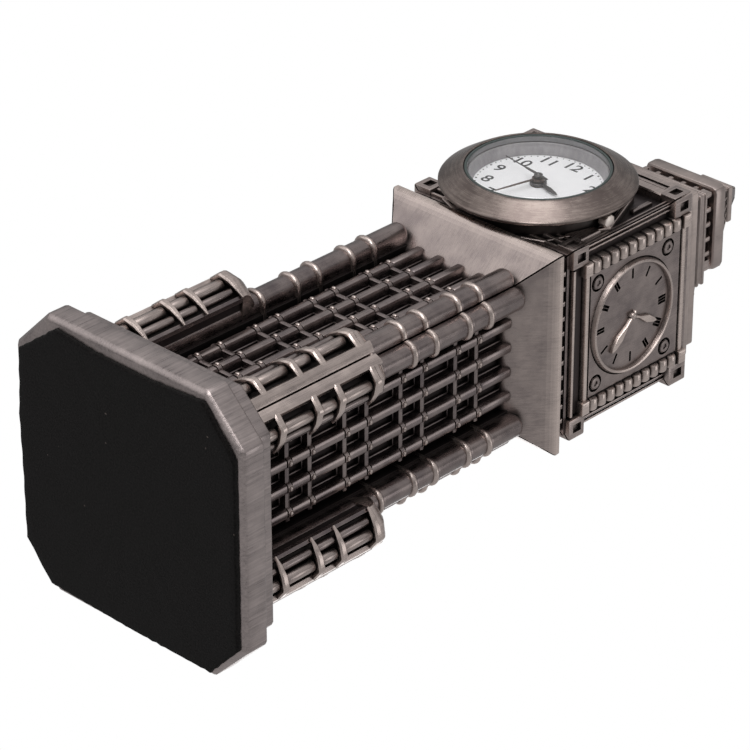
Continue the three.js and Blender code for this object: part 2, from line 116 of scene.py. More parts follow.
def drawn_in(outline, inset):
    """The outline with every side moved inwards by inset."""
    if inset == 0:
        return outline
    points = [Vector(p) for p in outline]
    area = sum(a.x * b.y - b.x * a.y for a, b in zip(points, points[1:] + points[:1]))
    turn = 1 if area > 0 else -1
    moved = []
    for i, point in enumerate(points):
        before, after = points[i - 1], points[(i + 1) % len(points)]
        one, two = (point - before).normalized(), (after - point).normalized()
        normal_one, normal_two = Vector((-one.y, one.x)), Vector((-two.y, two.x))
        middle = (normal_one + normal_two).normalized()
        reach = inset * turn / max(0.5, middle.dot(normal_one))
        moved.append(tuple(point + middle * reach))
    return moved


def arch(half, low, high, crown, steps=6, square=0.8):
    """Section of a bar: straight sides from low, then a rounded back that rises to high."""
    points = [(-half, low)]
    for i in range(steps + 1):
        angle = math.pi * (1 - i / steps)
        across = math.copysign(abs(math.cos(angle)) ** square, math.cos(angle))
        points.append((half * across, high - crown + crown * math.sin(angle) ** square))
    points.append((half, low))
    return points


def bar(axis, centre, section, start, end, rounding=0.0):
    """A section carried along x or z, with its ends rounded over."""
    low = section[0][1]
    stations = [(start, 1.0), (end, 1.0)]
    if rounding:
        near = [(0.0, 0.62), (0.3, 0.87), (1.0, 1.0)]
        stations = [(start + rounding * t, size) for t, size in near]
        stations += [(end - rounding * t, size) for t, size in reversed(near)]
    rings = []
    for along, size in stations:
        ring = [(across * size, low + (out - low) * size) for across, out in section]
        if axis == "x":
            rings.append([(along, out, centre + across) for across, out in ring])
        else:
            rings.append([(centre + across, out, along) for across, out in ring])
    return loft(rings)


def dome(x, z, rx, rz, low, high, sides=12):
    """A low boss or bead that stands out of a wall."""
    rise = high - low
    rings = []
    for size, height in ((1.0, 0.0), (1.0, 0.5), (0.9, 0.775), (0.66, 0.93), (0.3, 1.0)):
        angles = [2 * math.pi * i / sides for i in range(sides)]
        rings.append([(x + rx * size * math.cos(a), low + rise * height,
                       z + rz * size * math.sin(a)) for a in angles])
    return loft(rings)


def block(x, z, half_x, half_z, low, high, edge=0.25):
    """A rectangular pad that stands out of a wall, with its upper edges taken off."""
    rings = []
    for out, inset in ((low, 0), (high - edge, 0), (high - edge * 0.3, edge * 0.3), (high, edge)):
        dx, dz = half_x - inset, half_z - inset
        rings.append([(x + sx * dx, out, z + sz * dz)
                      for sx, sz in ((-1, -1), (1, -1), (1, 1), (-1, 1))])
    return loft(rings)


def turned(profile, sides, x=0.0, z=0.0, closed=True):
    """A profile of radius and out, turned about an axis that points outwards at x, z."""
    rings = []
    for radius, out in profile:
        angles = [2 * math.pi * i / sides for i in range(sides)]
        rings.append([(x + radius * math.cos(a), out, z + radius * math.sin(a)) for a in angles])
    return loft(rings, closed)


def frame_ring(x0, x1, z0, z1, width, low, high):
    """A rectangular frame that stands out of a wall."""
    edge = 0.12
    rings = []
    for inset, out in ((0, low), (0, high - edge), (edge, high), (width - edge, high),
                       (width, high - edge), (width, low)):
        rings.append([(x0 + inset, out, z0 + inset), (x1 - inset, out, z0 + inset),
                      (x1 - inset, out, z1 - inset), (x0 + inset, out, z1 - inset)])
    return loft(rings, closed=True)


def to_bmesh(shell):
    bm = bmesh.new()
    verts = [bm.verts.new(v) for v in shell[0]]
    for face in shell[1]:
        bm.faces.new([verts[i] for i in face])
    bmesh.ops.recalc_face_normals(bm, faces=bm.faces)
    return bm


def from_bmesh(bm):
    bm.verts.index_update()
    shell = [tuple(v.co) for v in bm.verts], [[v.index for v in f.verts] for f in bm.faces]
    bm.free()
    return shell


def mitred(shell):
    """The shell cut off at the two 45 degree planes where a wall meets its neighbours."""
    bm = to_bmesh(shell)
    for side in (-1, 1):
        cut = bmesh.ops.bisect_plane(
            bm, geom=bm.verts[:] + bm.edges[:] + bm.faces[:], dist=1e-5,
            plane_co=(0, MITRE_GAP, 0), plane_no=(side, -1, 0), clear_outer=True)
        edges = [g for g in cut["geom_cut"] if isinstance(g, bmesh.types.BMEdge)]
        if edges:
            bmesh.ops.holes_fill(bm, edges=edges, sides=0)
    return from_bmesh(bm)


def add_object(name, data):
    """A new object, linked to the scene."""
    obj = bpy.data.objects.new(name, data)
    bpy.context.scene.collection.objects.link(obj)
    return obj


def carved(shell, cutters):
    """The shell with the cutters, which must not touch each other, taken out of it."""
    def thing(shells):
        mesh = bpy.data.meshes.new("carving")
        bm = bmesh.new()
        for one in shells:
            part = to_bmesh(one)
            data = bpy.data.meshes.new("part")
            part.to_mesh(data)
            part.free()
            bm.from_mesh(data)
            bpy.data.meshes.remove(data)
        bm.to_mesh(mesh)
        bm.free()
        return add_object("carving", mesh)
    body, tool = thing([shell]), thing(cutters)
    boolean = body.modifiers.new("carve", "BOOLEAN")
    boolean.operation, boolean.solver, boolean.object = "DIFFERENCE", "EXACT", tool
    mesh = body.evaluated_get(bpy.context.evaluated_depsgraph_get()).data
    result = ([tuple(v.co) for v in mesh.vertices], [list(p.vertices) for p in mesh.polygons])
    for obj in (body, tool):
        data = obj.data
        bpy.data.objects.remove(obj)
        bpy.data.meshes.remove(data)
    return result


class Cast:
    """The shells of one piece, with a tone for each face and a grain for each point. Brushing runs
    along the grain's third coordinate and changes quickly over the other two."""

    def __init__(self):
        self.verts, self.faces, self.tones, self.grain = [], [], [], []

    def add(self, shell, tone, grain=None):
        verts, faces = shell
        base = len(self.verts)
        self.verts += verts
        self.faces += [[base + i for i in face] for face in faces]
        self.tones += tone if isinstance(tone, list) else [tone] * len(faces)
        self.grain += [grain(v) if grain else v for v in verts]

    def mirror(self, shell, tone, cut=False):
        """The shell and its mirror image on the other side of the wall, mitred if cut is set."""
        verts, faces = mitred(shell) if cut else shell
        self.add((verts, faces), tone)
        self.add(([(-x, out, z) for x, out, z in verts], faces), tone)

    def piece(self, name, material, body, slot, replaces, turn=0, up=0.0, edge=0.12, angle=32):
        """The finished Blender piece, turned about z and standing on its body."""
        mesh = bpy.data.meshes.new(name)
        place = Matrix.Rotation(math.radians(turn), 4, "Z") @ Matrix.Translation((0, 0, up * MM))
        points = [place @ Vector((x * MM, -out * MM, z * MM)) for x, out, z in self.verts]
        mesh.from_pydata(points, [], self.faces)
        tones = mesh.attributes.new("tone", "FLOAT", "FACE")
        tones.data.foreach_set("value", self.tones)
        grain = mesh.attributes.new("grain", "FLOAT_VECTOR", "POINT")
        grain.data.foreach_set("vector", [c for g in self.grain for c in g])
        bm = bmesh.new()
        bm.from_mesh(mesh)
        bmesh.ops.recalc_face_normals(bm, faces=bm.faces)
        bm.to_mesh(mesh)
        bm.free()
        mesh.shade_smooth()
        mesh.set_sharp_from_angle(angle=math.radians(angle))
        obj = add_object(name, mesh)
        mesh.materials.append(material)
        if edge:
            bevel = obj.modifiers.new("worn edges", "BEVEL")
            bevel.width, bevel.segments, bevel.limit_method = edge * MM, 1, "ANGLE"
            bevel.angle_limit, bevel.harden_normals = math.radians(angle), True
        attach(obj, body)
        if replaces:
            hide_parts(*replaces)
        return obj


# ---------------------------------------------------------------- materials

class Nodes:
    """The node tree of a material or world, with short calls for the nodes used here."""

    def __init__(self, name, world=False):
        self.owner = (bpy.data.worlds if world else bpy.data.materials).new(name)
        self.owner.use_nodes = True
        self.tree = self.owner.node_tree
        self.tree.nodes.clear()
        self.output = self.tree.nodes.new(
            "ShaderNodeOutputWorld" if world else "ShaderNodeOutputMaterial")

    def new(self, kind, inputs=None, **settings):
        node = self.tree.nodes.new(kind)
        for key, value in settings.items():
            setattr(node, key, value)
        for key, value in (inputs or {}).items():
            self.set(node.inputs[key], value)
        return node

    def set(self, socket, value):
        if isinstance(value, bpy.types.NodeSocket):
            self.tree.links.new(value, socket)
        else:
            socket.default_value = value

    def math(self, operation, a, b, clamp=False):
        node = self.new("ShaderNodeMath", {0: a, 1: b}, operation=operation, use_clamp=clamp)
        return node.outputs[0]

    def plus(self, a, b, clamp=False):
        return self.math("ADD", a, b, clamp)

    def times(self, a, b):
        return self.math("MULTIPLY", a, b)

    def ramp(self, value, low, high, to_low=0.0, to_high=1.0):
        node = self.new("ShaderNodeMapRange", {0: value, 1: low, 2: high, 3: to_low, 4: to_high})
        node.clamp = True
        return node.outputs[0]

    def mix(self, factor, a, b):
        node = self.new("ShaderNodeMix", data_type="RGBA")
        self.set(node.inputs[0], factor)
        self.set(node.inputs[6], a)
        self.set(node.inputs[7], b)
        return node.outputs[2]

    def attribute(self, name, output):
        return self.new("ShaderNodeAttribute", attribute_name=name).outputs[output]

    def place(self):
        return self.new("ShaderNodeTexCoord").outputs["Object"]

    def scaled(self, vector, scale):
        node = self.new("ShaderNodeVectorMath", {0: vector, 1: scale}, operation="MULTIPLY")
        return node.outputs[0]

    def noise(self, vector, scale, detail=3.0, rough=0.55):
        node = self.new("ShaderNodeTexNoise", {"Vector": vector, "Scale": scale,
                                               "Detail": detail, "Roughness": rough})
        return node.outputs["Fac"]

    def bump(self, height, strength, distance):
        node = self.new("ShaderNodeBump", {"Height": height, "Strength": strength,
                                           "Distance": distance * MM})
        return node.outputs["Normal"]

    def blend(self, factor, one, other):
        """One shader where the factor is 0, and the other where it is 1."""
        return self.new("ShaderNodeMixShader", {
            0: factor, 1: one.outputs[0], 2: other.outputs[0]})

    def finish(self, shader):
        self.tree.links.new(shader.outputs[0], self.output.inputs["Surface"])
        return self.owner


def grey(value, warm=1.0):
    """A linear colour, warmer than neutral by warm."""
    return (value * (1 + 0.10 * warm), value, value * (1 - 0.035 * warm), 1)


def pewter(name, body, worn, roughness, brushed, streak=0.14, wear=0.6, patina_and_shade_reach=2.4, under=0.25):
    """Blackened plating that has been rubbed back: bright on edges, dark in recesses with patina
    and painted shade.

    body and worn are its colours, wear is how bright its edges are, and patina_and_shade_reach is
    how far off, in mm, a neighbour still darkens it with patina and painted shade. brushed is how
    strongly brushing shows on worn faces, under is its share on dark ones, and streak is how
    quickly it changes along its run.
    """
    n = Nodes(name)
    tone = n.attribute("tone", "Fac")
    grain = n.attribute("grain", "Vector")
    place = n.place()
    mottle = n.noise(place, 260.0, 4.0, 0.6)
    blotch = n.noise(place, 70.0, 2.0)
    fine = n.noise(place, 5200.0, 2.0)
    streaks = n.noise(n.scaled(grain, (2.6, 2.6, streak)), 1.0, 4.0, 0.7)
    fibres = n.noise(n.scaled(grain, (9.0, 9.0, streak * 2.4)), 1.0, 3.0, 0.7)
    brushing = n.plus(n.times(streaks, 0.6), n.times(fibres, 0.4))

    # Recesses darken, as patina and painted shade, and faces with a tone below 0 are painted as
    # shade.
    hollow = n.new("ShaderNodeAmbientOcclusion", {"Distance": patina_and_shade_reach * MM}, samples=6,
                   only_local=True)
    openness = n.times(n.ramp(hollow.outputs["AO"], 0.30, 0.86), n.ramp(tone, -1.0, 0.0))

    # Edges are where the normal of a bevelled surface leaves that of the true one.
    bevel = n.new("ShaderNodeBevel", {"Radius": 0.16 * MM}, samples=4)
    geometry = n.new("ShaderNodeNewGeometry")
    agree = n.new("ShaderNodeVectorMath", {0: bevel.outputs[0], 1: geometry.outputs["Normal"]},
                  operation="DOT_PRODUCT").outputs["Value"]
    edge = n.ramp(n.math("SUBTRACT", 1.0, agree), 0.01, 0.16)
    rubbed = n.times(edge, n.ramp(mottle, 0.3, 0.62, 0.45, 1.0))
    rubbed = n.times(n.times(rubbed, openness), wear)

    level = n.plus(tone, rubbed)
    level = n.plus(level, n.ramp(mottle, 0.25, 0.75, -0.14, 0.14))
    level = n.plus(level, n.ramp(blotch, 0.3, 0.7, -0.09, 0.09))
    swept = n.times(n.ramp(brushing, 0.32, 0.68, -0.34, 0.34),
                    n.ramp(tone, 0.3, 0.33, under * brushed, brushed))
    level = n.plus(n.plus(level, swept), 0.0, clamp=True)
    # Where openness is low the colour goes to near black: patina in recesses, and painted shade.
    colour = n.mix(openness, (0.022, 0.019, 0.018, 1), n.mix(level, body, worn))

    rough = n.plus(roughness, n.ramp(mottle, 0.2, 0.8, -0.07, 0.09))
    rough = n.plus(rough, n.ramp(brushing, 0.3, 0.7, -0.16 * brushed, 0.16 * brushed))
    rough = n.plus(rough, n.ramp(openness, 0.0, 1.0, 0.25, 0.0), clamp=True)
    height = n.plus(n.times(brushing, 0.75 * brushed), n.times(fine, 0.16))
    height = n.plus(height, n.times(mottle, 0.35))
    shader = n.new("ShaderNodeBsdfPrincipled", {
        "Base Color": colour, "Metallic": 1.0, "Roughness": rough,
        "Normal": n.bump(height, 0.55, 0.045 + 0.03 * brushed)})
    return n.finish(shader)


def plain(name, dark, light, metallic, rough_low, rough_high, scale=900.0, bump=0.02,
          stretch=(1, 1, 1)):
    """A finish that varies gently between two colours, with fine relief."""
    n = Nodes(name)
    place = n.scaled(n.place(), stretch)
    broad = n.noise(place, scale * 0.2, 3.0)
    small = n.noise(place, scale, 4.0, 0.65)
    blend = n.plus(n.times(broad, 0.5), n.times(small, 0.5))
    colour = n.mix(n.ramp(blend, 0.35, 0.65), dark, light)
    rough = n.ramp(small, 0.3, 0.7, rough_low, rough_high)
    shader = n.new("ShaderNodeBsdfPrincipled", {
        "Base Color": colour, "Metallic": metallic, "Roughness": rough,
        "Normal": n.bump(small, 0.5, bump)})
    return n.finish(shader)


def felt_material():
    """Black felt with a short matted pile and specks of lint."""
    n = Nodes("felt")
    place = n.place()
    pile = n.noise(place, 2600.0, 5.0, 0.7)
    cloud = n.noise(place, 150.0, 3.0)
    warped = n.new("ShaderNodeVectorMath", {0: place, 1: n.scaled(
        n.new("ShaderNodeTexNoise", {"Vector": place, "Scale": 500.0}).outputs["Color"],
        (0.0016, 0.0016, 0.0016))}, operation="ADD").outputs[0]
    cells = n.new("ShaderNodeTexVoronoi", {"Vector": warped, "Scale": 330.0})
    speck = n.ramp(cells.outputs["Distance"], 0.03, 0.075, 1.0, 0.0)
    rare = n.ramp(n.new("ShaderNodeSeparateColor",
                        {0: cells.outputs["Color"]}).outputs[0], 0.80, 0.84)
    lint = n.times(speck, rare)
    base = n.mix(n.ramp(pile, 0.35, 0.7), (0.0005, 0.0004, 0.0004, 1), (0.0125, 0.0105, 0.0100, 1))
    base = n.mix(n.ramp(cloud, 0.4, 0.75, 0.0, 0.35), base, (0.0085, 0.0075, 0.0078, 1))
    colour = n.mix(n.times(lint, 0.7), base, (0.17, 0.135, 0.12, 1))
    shader = n.new("ShaderNodeBsdfPrincipled", {
        "Base Color": colour, "Roughness": n.ramp(pile, 0.2, 0.8, 0.9, 1.0),
        "Specular IOR Level": 0.03, "Sheen Weight": 0.06, "Sheen Roughness": 0.6,
        "Normal": n.bump(pile, 0.9, 0.12)})
    return n.finish(shader)


def glass_material():
    """Clear mineral crystal: what is behind it shows, and it reflects more at a grazing angle."""
    n = Nodes("crystal")
    smudge = n.noise(n.place(), 190.0, 3.0)
    clear = n.new("ShaderNodeBsdfTransparent", {0: (0.985, 0.985, 0.985, 1)})
    gloss = n.new("ShaderNodeBsdfGlossy", {
        0: (0.9, 0.9, 0.9, 1), "Roughness": n.ramp(smudge, 0.3, 0.7, 0.02, 0.06)})
    inside = n.new("ShaderNodeNewGeometry").outputs["Backfacing"]
    shine = n.times(n.new("ShaderNodeFresnel", {"IOR": 1.45}).outputs[0],
                   n.math("SUBTRACT", 1.0, inside))
    return n.finish(n.blend(shine, clear, gloss))


def seal_material():
    """Gasket of the crystal: dark where it shows in front, and a lighter grey further in, a painted
    reflection of the crystal.
    """
    n = Nodes("crystal_seal")
    place = n.place()
    out = n.new("ShaderNodeSeparateXYZ", {0: place}).outputs["Y"]
    front_face = -25.0 * MM
    grain = n.noise(place, 1500.0, 3.0)
    front = n.mix(grain, (0.03, 0.042, 0.04, 1), (0.07, 0.088, 0.083, 1))
    # The grey further in is a painted reflection of the crystal in front of it.
    inner = n.mix(grain, (0.20, 0.195, 0.20, 1), (0.27, 0.265, 0.27, 1))
    colour = n.mix(n.ramp(out, front_face, front_face + 0.1 * MM), front, inner)
    shader = n.new("ShaderNodeBsdfPrincipled", {
        "Base Color": colour, "Roughness": n.ramp(grain, 0.2, 0.8, 0.4, 0.6),
        "Normal": n.bump(grain, 0.3, 0.01)})
    return n.finish(shader)


def coil_material():
    """Enamelled wire wound round the coil's length."""
    n = Nodes("coil_wire")
    wave = n.new("ShaderNodeTexWave", {"Vector": n.place(), "Scale": 900.0, "Distortion": 0.4},
                 bands_direction="X").outputs["Fac"]
    colour = n.mix(wave, (0.16, 0.05, 0.018, 1), (0.62, 0.24, 0.09, 1))
    shader = n.new("ShaderNodeBsdfPrincipled", {
        "Base Color": colour, "Metallic": 0.8, "Roughness": n.ramp(wave, 0, 1, 0.45, 0.28),
        "Normal": n.bump(wave, 0.8, 0.05)})
    return n.finish(shader)


DARK, BRIGHT = (0.175, 0.145, 0.148, 1), (0.74, 0.625, 0.575, 1)
cast_metal = pewter("dark_pewter", DARK, BRIGHT, 0.27, brushed=0.55, streak=0.12)
roof_metal = pewter("antique_pewter", (0.17, 0.145, 0.146, 1), BRIGHT, 0.34, brushed=0.25)
base_metal = pewter("brushed_pewter", (0.17, 0.147, 0.148, 1), (0.64, 0.55, 0.53, 1), 0.34,
                    brushed=0.8, wear=0.35, streak=0.05)
bezel_metal = pewter("bezel_pewter", (0.185, 0.148, 0.137, 1), (0.74, 0.63, 0.56, 1), 0.24,
                     brushed=0.7, wear=0.6, streak=0.2, patina_and_shade_reach=0.8, under=0.7)
knob_metal = pewter("knob_pewter", (0.5, 0.43, 0.41, 1), (0.92, 0.82, 0.76, 1), 0.42,
                    brushed=0.2, wear=0.6, patina_and_shade_reach=0.5)
case_metal = pewter("case_pewter", grey(0.05), grey(0.2), 0.4, brushed=0.3, wear=0.3)
finishes = {
    "zinc_steel": plain("zinc_steel", grey(0.34, 0.3), grey(0.5, 0.3), 1.0, 0.25, 0.4),
    "black_rubber": plain("black_rubber", grey(0.008, 0), grey(0.018, 0), 0.0, 0.7, 0.9),
    "grey_ring": plain("grey_ring", (0.31, 0.295, 0.305, 1), (0.44, 0.42, 0.43, 1), 0.4,
                       0.3, 0.45, scale=1400.0, stretch=(1, 0.12, 1)),
    "white_dial": plain("white_dial", (0.93, 0.925, 0.94, 1), (0.98, 0.975, 0.985, 1), 0.0,
                        0.4, 0.55, scale=2600.0, bump=0.006),
    "ivory_plastic": plain("ivory_plastic", (0.68, 0.64, 0.54, 1), (0.78, 0.74, 0.64, 1), 0.0,
                           0.45, 0.6),
    "movement_brass": plain("movement_brass", (0.50, 0.38, 0.16, 1), (0.68, 0.53, 0.26, 1), 1.0,
                            0.25, 0.4, stretch=(1, 1, 0.1)),
    "coil_wire": coil_material(),
    "cell_steel": plain("cell_steel", grey(0.42, 0.2), grey(0.58, 0.2), 1.0, 0.22, 0.36,
                        stretch=(0.1, 1, 1)),
    "dark_hand": plain("dark_hand", grey(0.06, 0.8), grey(0.12, 0.8), 0.7, 0.3, 0.45,
                       stretch=(1, 1, 0.2)),
    "brown_hand": plain("brown_hand", (0.075, 0.05, 0.04, 1), (0.15, 0.105, 0.085, 1), 0.7,
                        0.3, 0.42),
    "dial_print": plain("dial_print", grey(0.012, 0), grey(0.03, 0), 0.0, 0.45, 0.6,
                        scale=2500.0, bump=0.004),
}


# ---------------------------------------------------------------- walls

# Tones of the cast details, as described at the top.
RIB, COLUMN, SHADOW = 0.17, 0.18, -0.7
RING, BAND, ROD, PALE = 0.74, 0.78, 0.32, 0.34


def flat_bar(half, low, high, top):
    """Section of a bar with steep sides and a narrow flat back."""
    side = [(half, low), (half - 0.06, high - 0.6), (top + 0.16, high - 0.15), (top, high - 0.05)]
    return [(-x, out) for x, out in side] + [(0.0, high)] + side[::-1]


def lattice(cast):
    """Ribs, crossbars and knobs over a recessed panel, which is painted near black as shade."""
    # The panel behind the ribs is painted near black: painted shade.
    cast.add(box(-11.5, 11.5, 11.6, 12.3, WALL_FOOT, 82), SHADOW)
    spine = flat_bar(1.02, 12.0, 14.6, 0.55)
    rib_section = flat_bar(1.0, 13.9, 14.85, 0.6)
    bar_section = flat_bar(0.6, 12.0, 14.3, 0.32)
    crossing = flat_bar(1.06, 13.9, 15.0, 0.5)
    crossings = BANDS[1:]
    for x in RIBS:
        cast.add(bar("z", x, spine, WALL_FOOT, RIB_TOP - 0.1, 0.45), 0.0)
        starts = [WALL_FOOT] + [z + 0.6 for z in crossings]
        ends = [z - 0.6 for z in crossings] + [RIB_TOP]
        for low, high in zip(starts, ends):
            cast.add(bar("z", x, rib_section, low, high, 0.45 if high == RIB_TOP else 0.1), RIB)
        for z in crossings:
            cast.add(bar("z", x, crossing, z - 0.52, z + 0.52, 0.12), 0.2)
            cast.add(dome(x, z + 0.12, 0.56, 0.42, 14.6, 15.3, 10), 0.6)
    for z in crossings:
        gaps = [-9.7, *RIBS, 9.7]
        for left, right in zip(gaps, gaps[1:]):
            cast.add(bar("x", z, bar_section, left + 0.4, right - 0.4, 0.2), 0.16)
    stops = [10.2, *crossings, RIB_TOP + 0.4]
    for low, high in zip(stops, stops[1:]):
        for left, right in zip(RIBS, RIBS[1:]):
            ledge = frame_ring(left + 0.98, right - 0.98, low + 0.5, high - 0.5, 0.3, 12.2, 13.0)
            cast.add(ledge, 0.08)


def column_section(grow=0.0):
    """Section of a column, or with grow that of a ring which stands proud of it."""
    return arch(2.1 + grow, 12.0, 17.75 + grow * 0.8, 2.1 + grow * 0.8, 12, 0.88)


def columns(cast):
    """Half-columns beside each mitre, with rings that wrap round them."""
    # A web behind each column, painted near black: painted shade.
    cast.mirror(box(10.4, 16.5, 11.6, 14.3, WALL_FOOT, 80.6), SHADOW, cut=True)
    rings = []
    for z, size in ((WALL_FOOT, 1.0), (79.7, 1.0), (80.2, 0.95), (80.55, 0.84), (80.7, 0.7)):
        rings.append([(COLUMN_X + x * size, 12 + (out - 12) * (0.6 + 0.4 * size), z)
                      for x, out in column_section()])
    cast.mirror(loft(rings), COLUMN, cut=True)
    ring = ((-0.72, -0.1), (-0.62, 0.26), (-0.38, 0.52), (-0.08, 0.6), (0.2, 0.52), (0.44, 0.26),
            (0.54, -0.1))
    groove = ((0.4, -0.1), (0.5, 0.14), (0.85, 0.14), (0.95, -0.1))
    for z in [z for z in BANDS if z > TURRET_TOP]:
        for profile, tone in ((ring, RING), (groove, 0.12)):
            cast.mirror(loft([[(COLUMN_X + x, out, z + dz) for x, out in column_section(grow)]
                              for dz, grow in profile]), tone, cut=True)


# Plans of a turret's parts in x and out. A strap's points add how thick and how tall it is there.
TURRET_CORE = [(10.9, 13.4), (11.1, 18.6), (12.9, 20.1), (15.2, 20.0), (16.3, 19.0),
               (16.4, 16.6), (13.4, 13.4)]
TURRET_RAIL = [(16.6, 19.3), (17.0, 20.5), (17.75, 20.85), (18.3, 20.4), (18.85, 19.1),
               (17.4, 17.6), (16.5, 18.0)]
STRAP = [(18.3, 20.0, 0.75, 0.72), (17.9, 20.9, 0.8, 0.72), (15.9, 22.5, 0.9, 0.74),
         (15.3, 22.65, 0.95, 0.76), (13.1, 22.1, 0.85, 0.68), (11.3, 21.0, 0.7, 0.5),
         (10.0, 19.8, 0.4, 0.18)]


def round_rod(x, out, radius, low, high):
    """An upright rod with rounded ends."""
    angles = [2 * math.pi * i / 12 for i in range(12)]
    rings = []
    for z, size in ((low, 0.5), (low + 0.25, 0.88), (low + 0.55, 1.0), (high - 0.4, 1.0),
                    (high - 0.15, 0.88), (high, 0.5)):
        rings.append([(x + radius * size * math.cos(a), out + radius * size * math.sin(a), z)
                      for a in angles])
    return loft(rings)


def strap(z):
    """A band round the turret: a cast strap that tapers to a point on the lattice side."""
    rings = []
    for i, (x, out, thick, half) in enumerate(STRAP):
        before, after = STRAP[max(i - 1, 0)], STRAP[min(i + 1, len(STRAP) - 1)]
        run = Vector((after[0] - before[0], after[1] - before[1])).normalized()
        inward = Vector((-run.y, run.x))
        ring = []
        for depth, reach in ((0.0, -0.55), (0.0, 0.55), (0.3, 1.0), (1.0, 0.9), (1.0, -0.9),
                             (0.3, -1.0)):
            ring.append((x + inward.x * depth * thick, out + inward.y * depth * thick,
                         z + reach * half))
        rings.append(ring)
    return loft(rings)


def turrets(cast):
    """Half of each corner turret: rods in a core painted as shade, clasped by bright straps, under
    a cap.
    """
    # The core is painted near black: painted shade.
    cast.mirror(prism(TURRET_CORE, [(WALL_FOOT, 0), (40.2, 0)]), SHADOW, cut=True)
    cast.mirror(prism(TURRET_RAIL, [(WALL_FOOT, 0), (40.6, 0)]), 0.62, cut=True)
    straps = [z for z in BANDS if z < TURRET_TOP]
    for x, out, radius, tone in ((12.35, 20.2, 0.78, ROD), (14.7, 20.75, 1.12, ROD + 0.25)):
        for low, high in zip(straps, straps[1:]):
            cast.mirror(round_rod(x, out, radius, low + 0.35, high - 0.75), tone, cut=True)
    # The inner rail has a low tone, as painted shade on the lattice side of the turret.
    rail = [(10.6, 18.4), (10.5, 19.3), (10.9, 19.75), (11.4, 19.4), (11.4, 18.4)]
    cast.mirror(prism(rail, [(WALL_FOOT, 0), (40.0, 0)]), 0.1, cut=True)
    for z in straps:
        cast.mirror(strap(max(z, 11.15)), BAND, cut=True)
    crown = [(38.4, 1.0), (39.1, 1.0), (39.7, 0.96), (40.3, 0.87), (40.9, 0.72), (41.5, 0.5),
             (41.9, 0.25), (42.1, 0.0)]
    outer = [(10.4, 19.6), (13.1, 22.1), (15.9, 22.5), (17.9, 20.9), (18.85, 19.1), (13.2, 13.4),
             (10.9, 13.4)]
    inner = [(11.3, 14.4), (12.2, 16.6), (14.0, 17.0), (15.0, 16.8), (15.2, 15.6), (13.0, 13.3),
             (11.5, 13.3)]
    rings = [[(a[0] * size + b[0] * (1 - size), a[1] * size + b[1] * (1 - size), z)
              for a, b in zip(outer, inner)] for z, size in crown]
    cast.mirror(loft(rings), 0.7, cut=True)


def collar(cast):
    """The brushed, slightly dented skirt that carries the clock stage, with a painted highlight at
    its rim.
    """
    section = [(12.0, 79.0), (13.0, 79.05), (13.5, 79.2), (14.0, 79.55), (15.75, 81.15),
               (16.8, 82.37), (17.9, 83.65), (18.4, 84.25), (18.95, 84.85), (19.5, 85.45),
               (19.85, 85.85), (20.05, 86.1), (20.25, 86.45), (20.3, 86.75), (20.25, 87.4),
               (20.05, 87.62), (19.7, 87.7), (17.0, 87.75), (12.0, 87.75)]
    stations = [-21 + 42 * i / 28 for i in range(29)]
    rings = []
    for x in stations:
        ring = []
        for out, z in section:
            share = max(0.0, 1 - abs(z - 83.6) / 3.4) * (1 if out > 15 else 0)
            dent = 0.10 * math.sin(1.9 * x + 0.8 * z) * math.sin(0.63 * x - 1.4 * z + 1.0)
            ring.append((x, out + share * dent, z))
        rings.append(ring)
    verts, faces = mitred(loft(rings))
    tones = []
    for face in faces:
        height = sum(verts[i][2] for i in face) / len(face)
        across = sum(verts[i][0] for i in face) / len(face)
        # The tone rises towards the rim, a painted highlight, and a little towards +x, painted
        # light.
        edge = min(max((height - 84.2) / 2.4, 0.0), 1.0)
        tones.append(PALE + 0.05 * across / 20 + 0.66 * edge ** 1.6)
    cast.add((verts, faces), tones, grain=lambda v: (1.4 * v[0], 0.2 * v[1], v[2]))


def stage_box(cast, front):
    """Panel, dentils, corner blocks and edge mouldings of the clock stage; the panel is painted
    dark as shade.
    """
    # The panel's tone is below 0: painted shade.
    if front:
        hole = turned([(0.1, 10), (SEAT_HOLE, 10), (SEAT_HOLE, 25), (0.1, 25)], 64, 0, WATCH_Z,
                      closed=False)
        panel = carved(box(-19.2, 19.2, 16.2, STAGE_FACE, 87.5, STAGE_TOP), [hole])
        cast.add(mitred(panel), -0.4)
    else:
        cast.add(mitred(box(-19.2, 19.2, 16.2, STAGE_FACE, 87.5, STAGE_TOP)), -0.6)
    for i in range(11):
        cast.add(block(-15 + 3 * i, 89.1, 0.45, 0.8, STAGE_FACE - 0.2, 18.7, 0.2), PALE)
    cast.add(mitred(box(-19, 19, 17.0, 18.5, 90.35, 90.95)), 0.15)
    for x, half in ((18.9, 0.32), (18.0, 0.24), (17.1, 0.24)):
        rail = bar("z", x, arch(half, 17.0, 18.42, 0.25, 4), 94.8, 119.4)
        cast.mirror(rail, 0.32, cut=True)
    for z0, z1, slot0, slot1 in ((90.95, 95.2, 92.0, 94.2), (119.0, STAGE_TOP, 120.3, 122.6)):
        corner = plate([(15.4, z0), (21.0, z0), (21.0, z1), (15.4, z1)],
                       [(16.5, 0.0), (STAGE_HALF - 0.35, 0.0), (STAGE_HALF - 0.1, 0.12),
                        (STAGE_HALF, 0.4)])
        slot = box(16.5, 18.25, 18.8, 21.0, slot0, slot1)
        cast.mirror(carved(corner, [slot]), 0.45, cut=True)


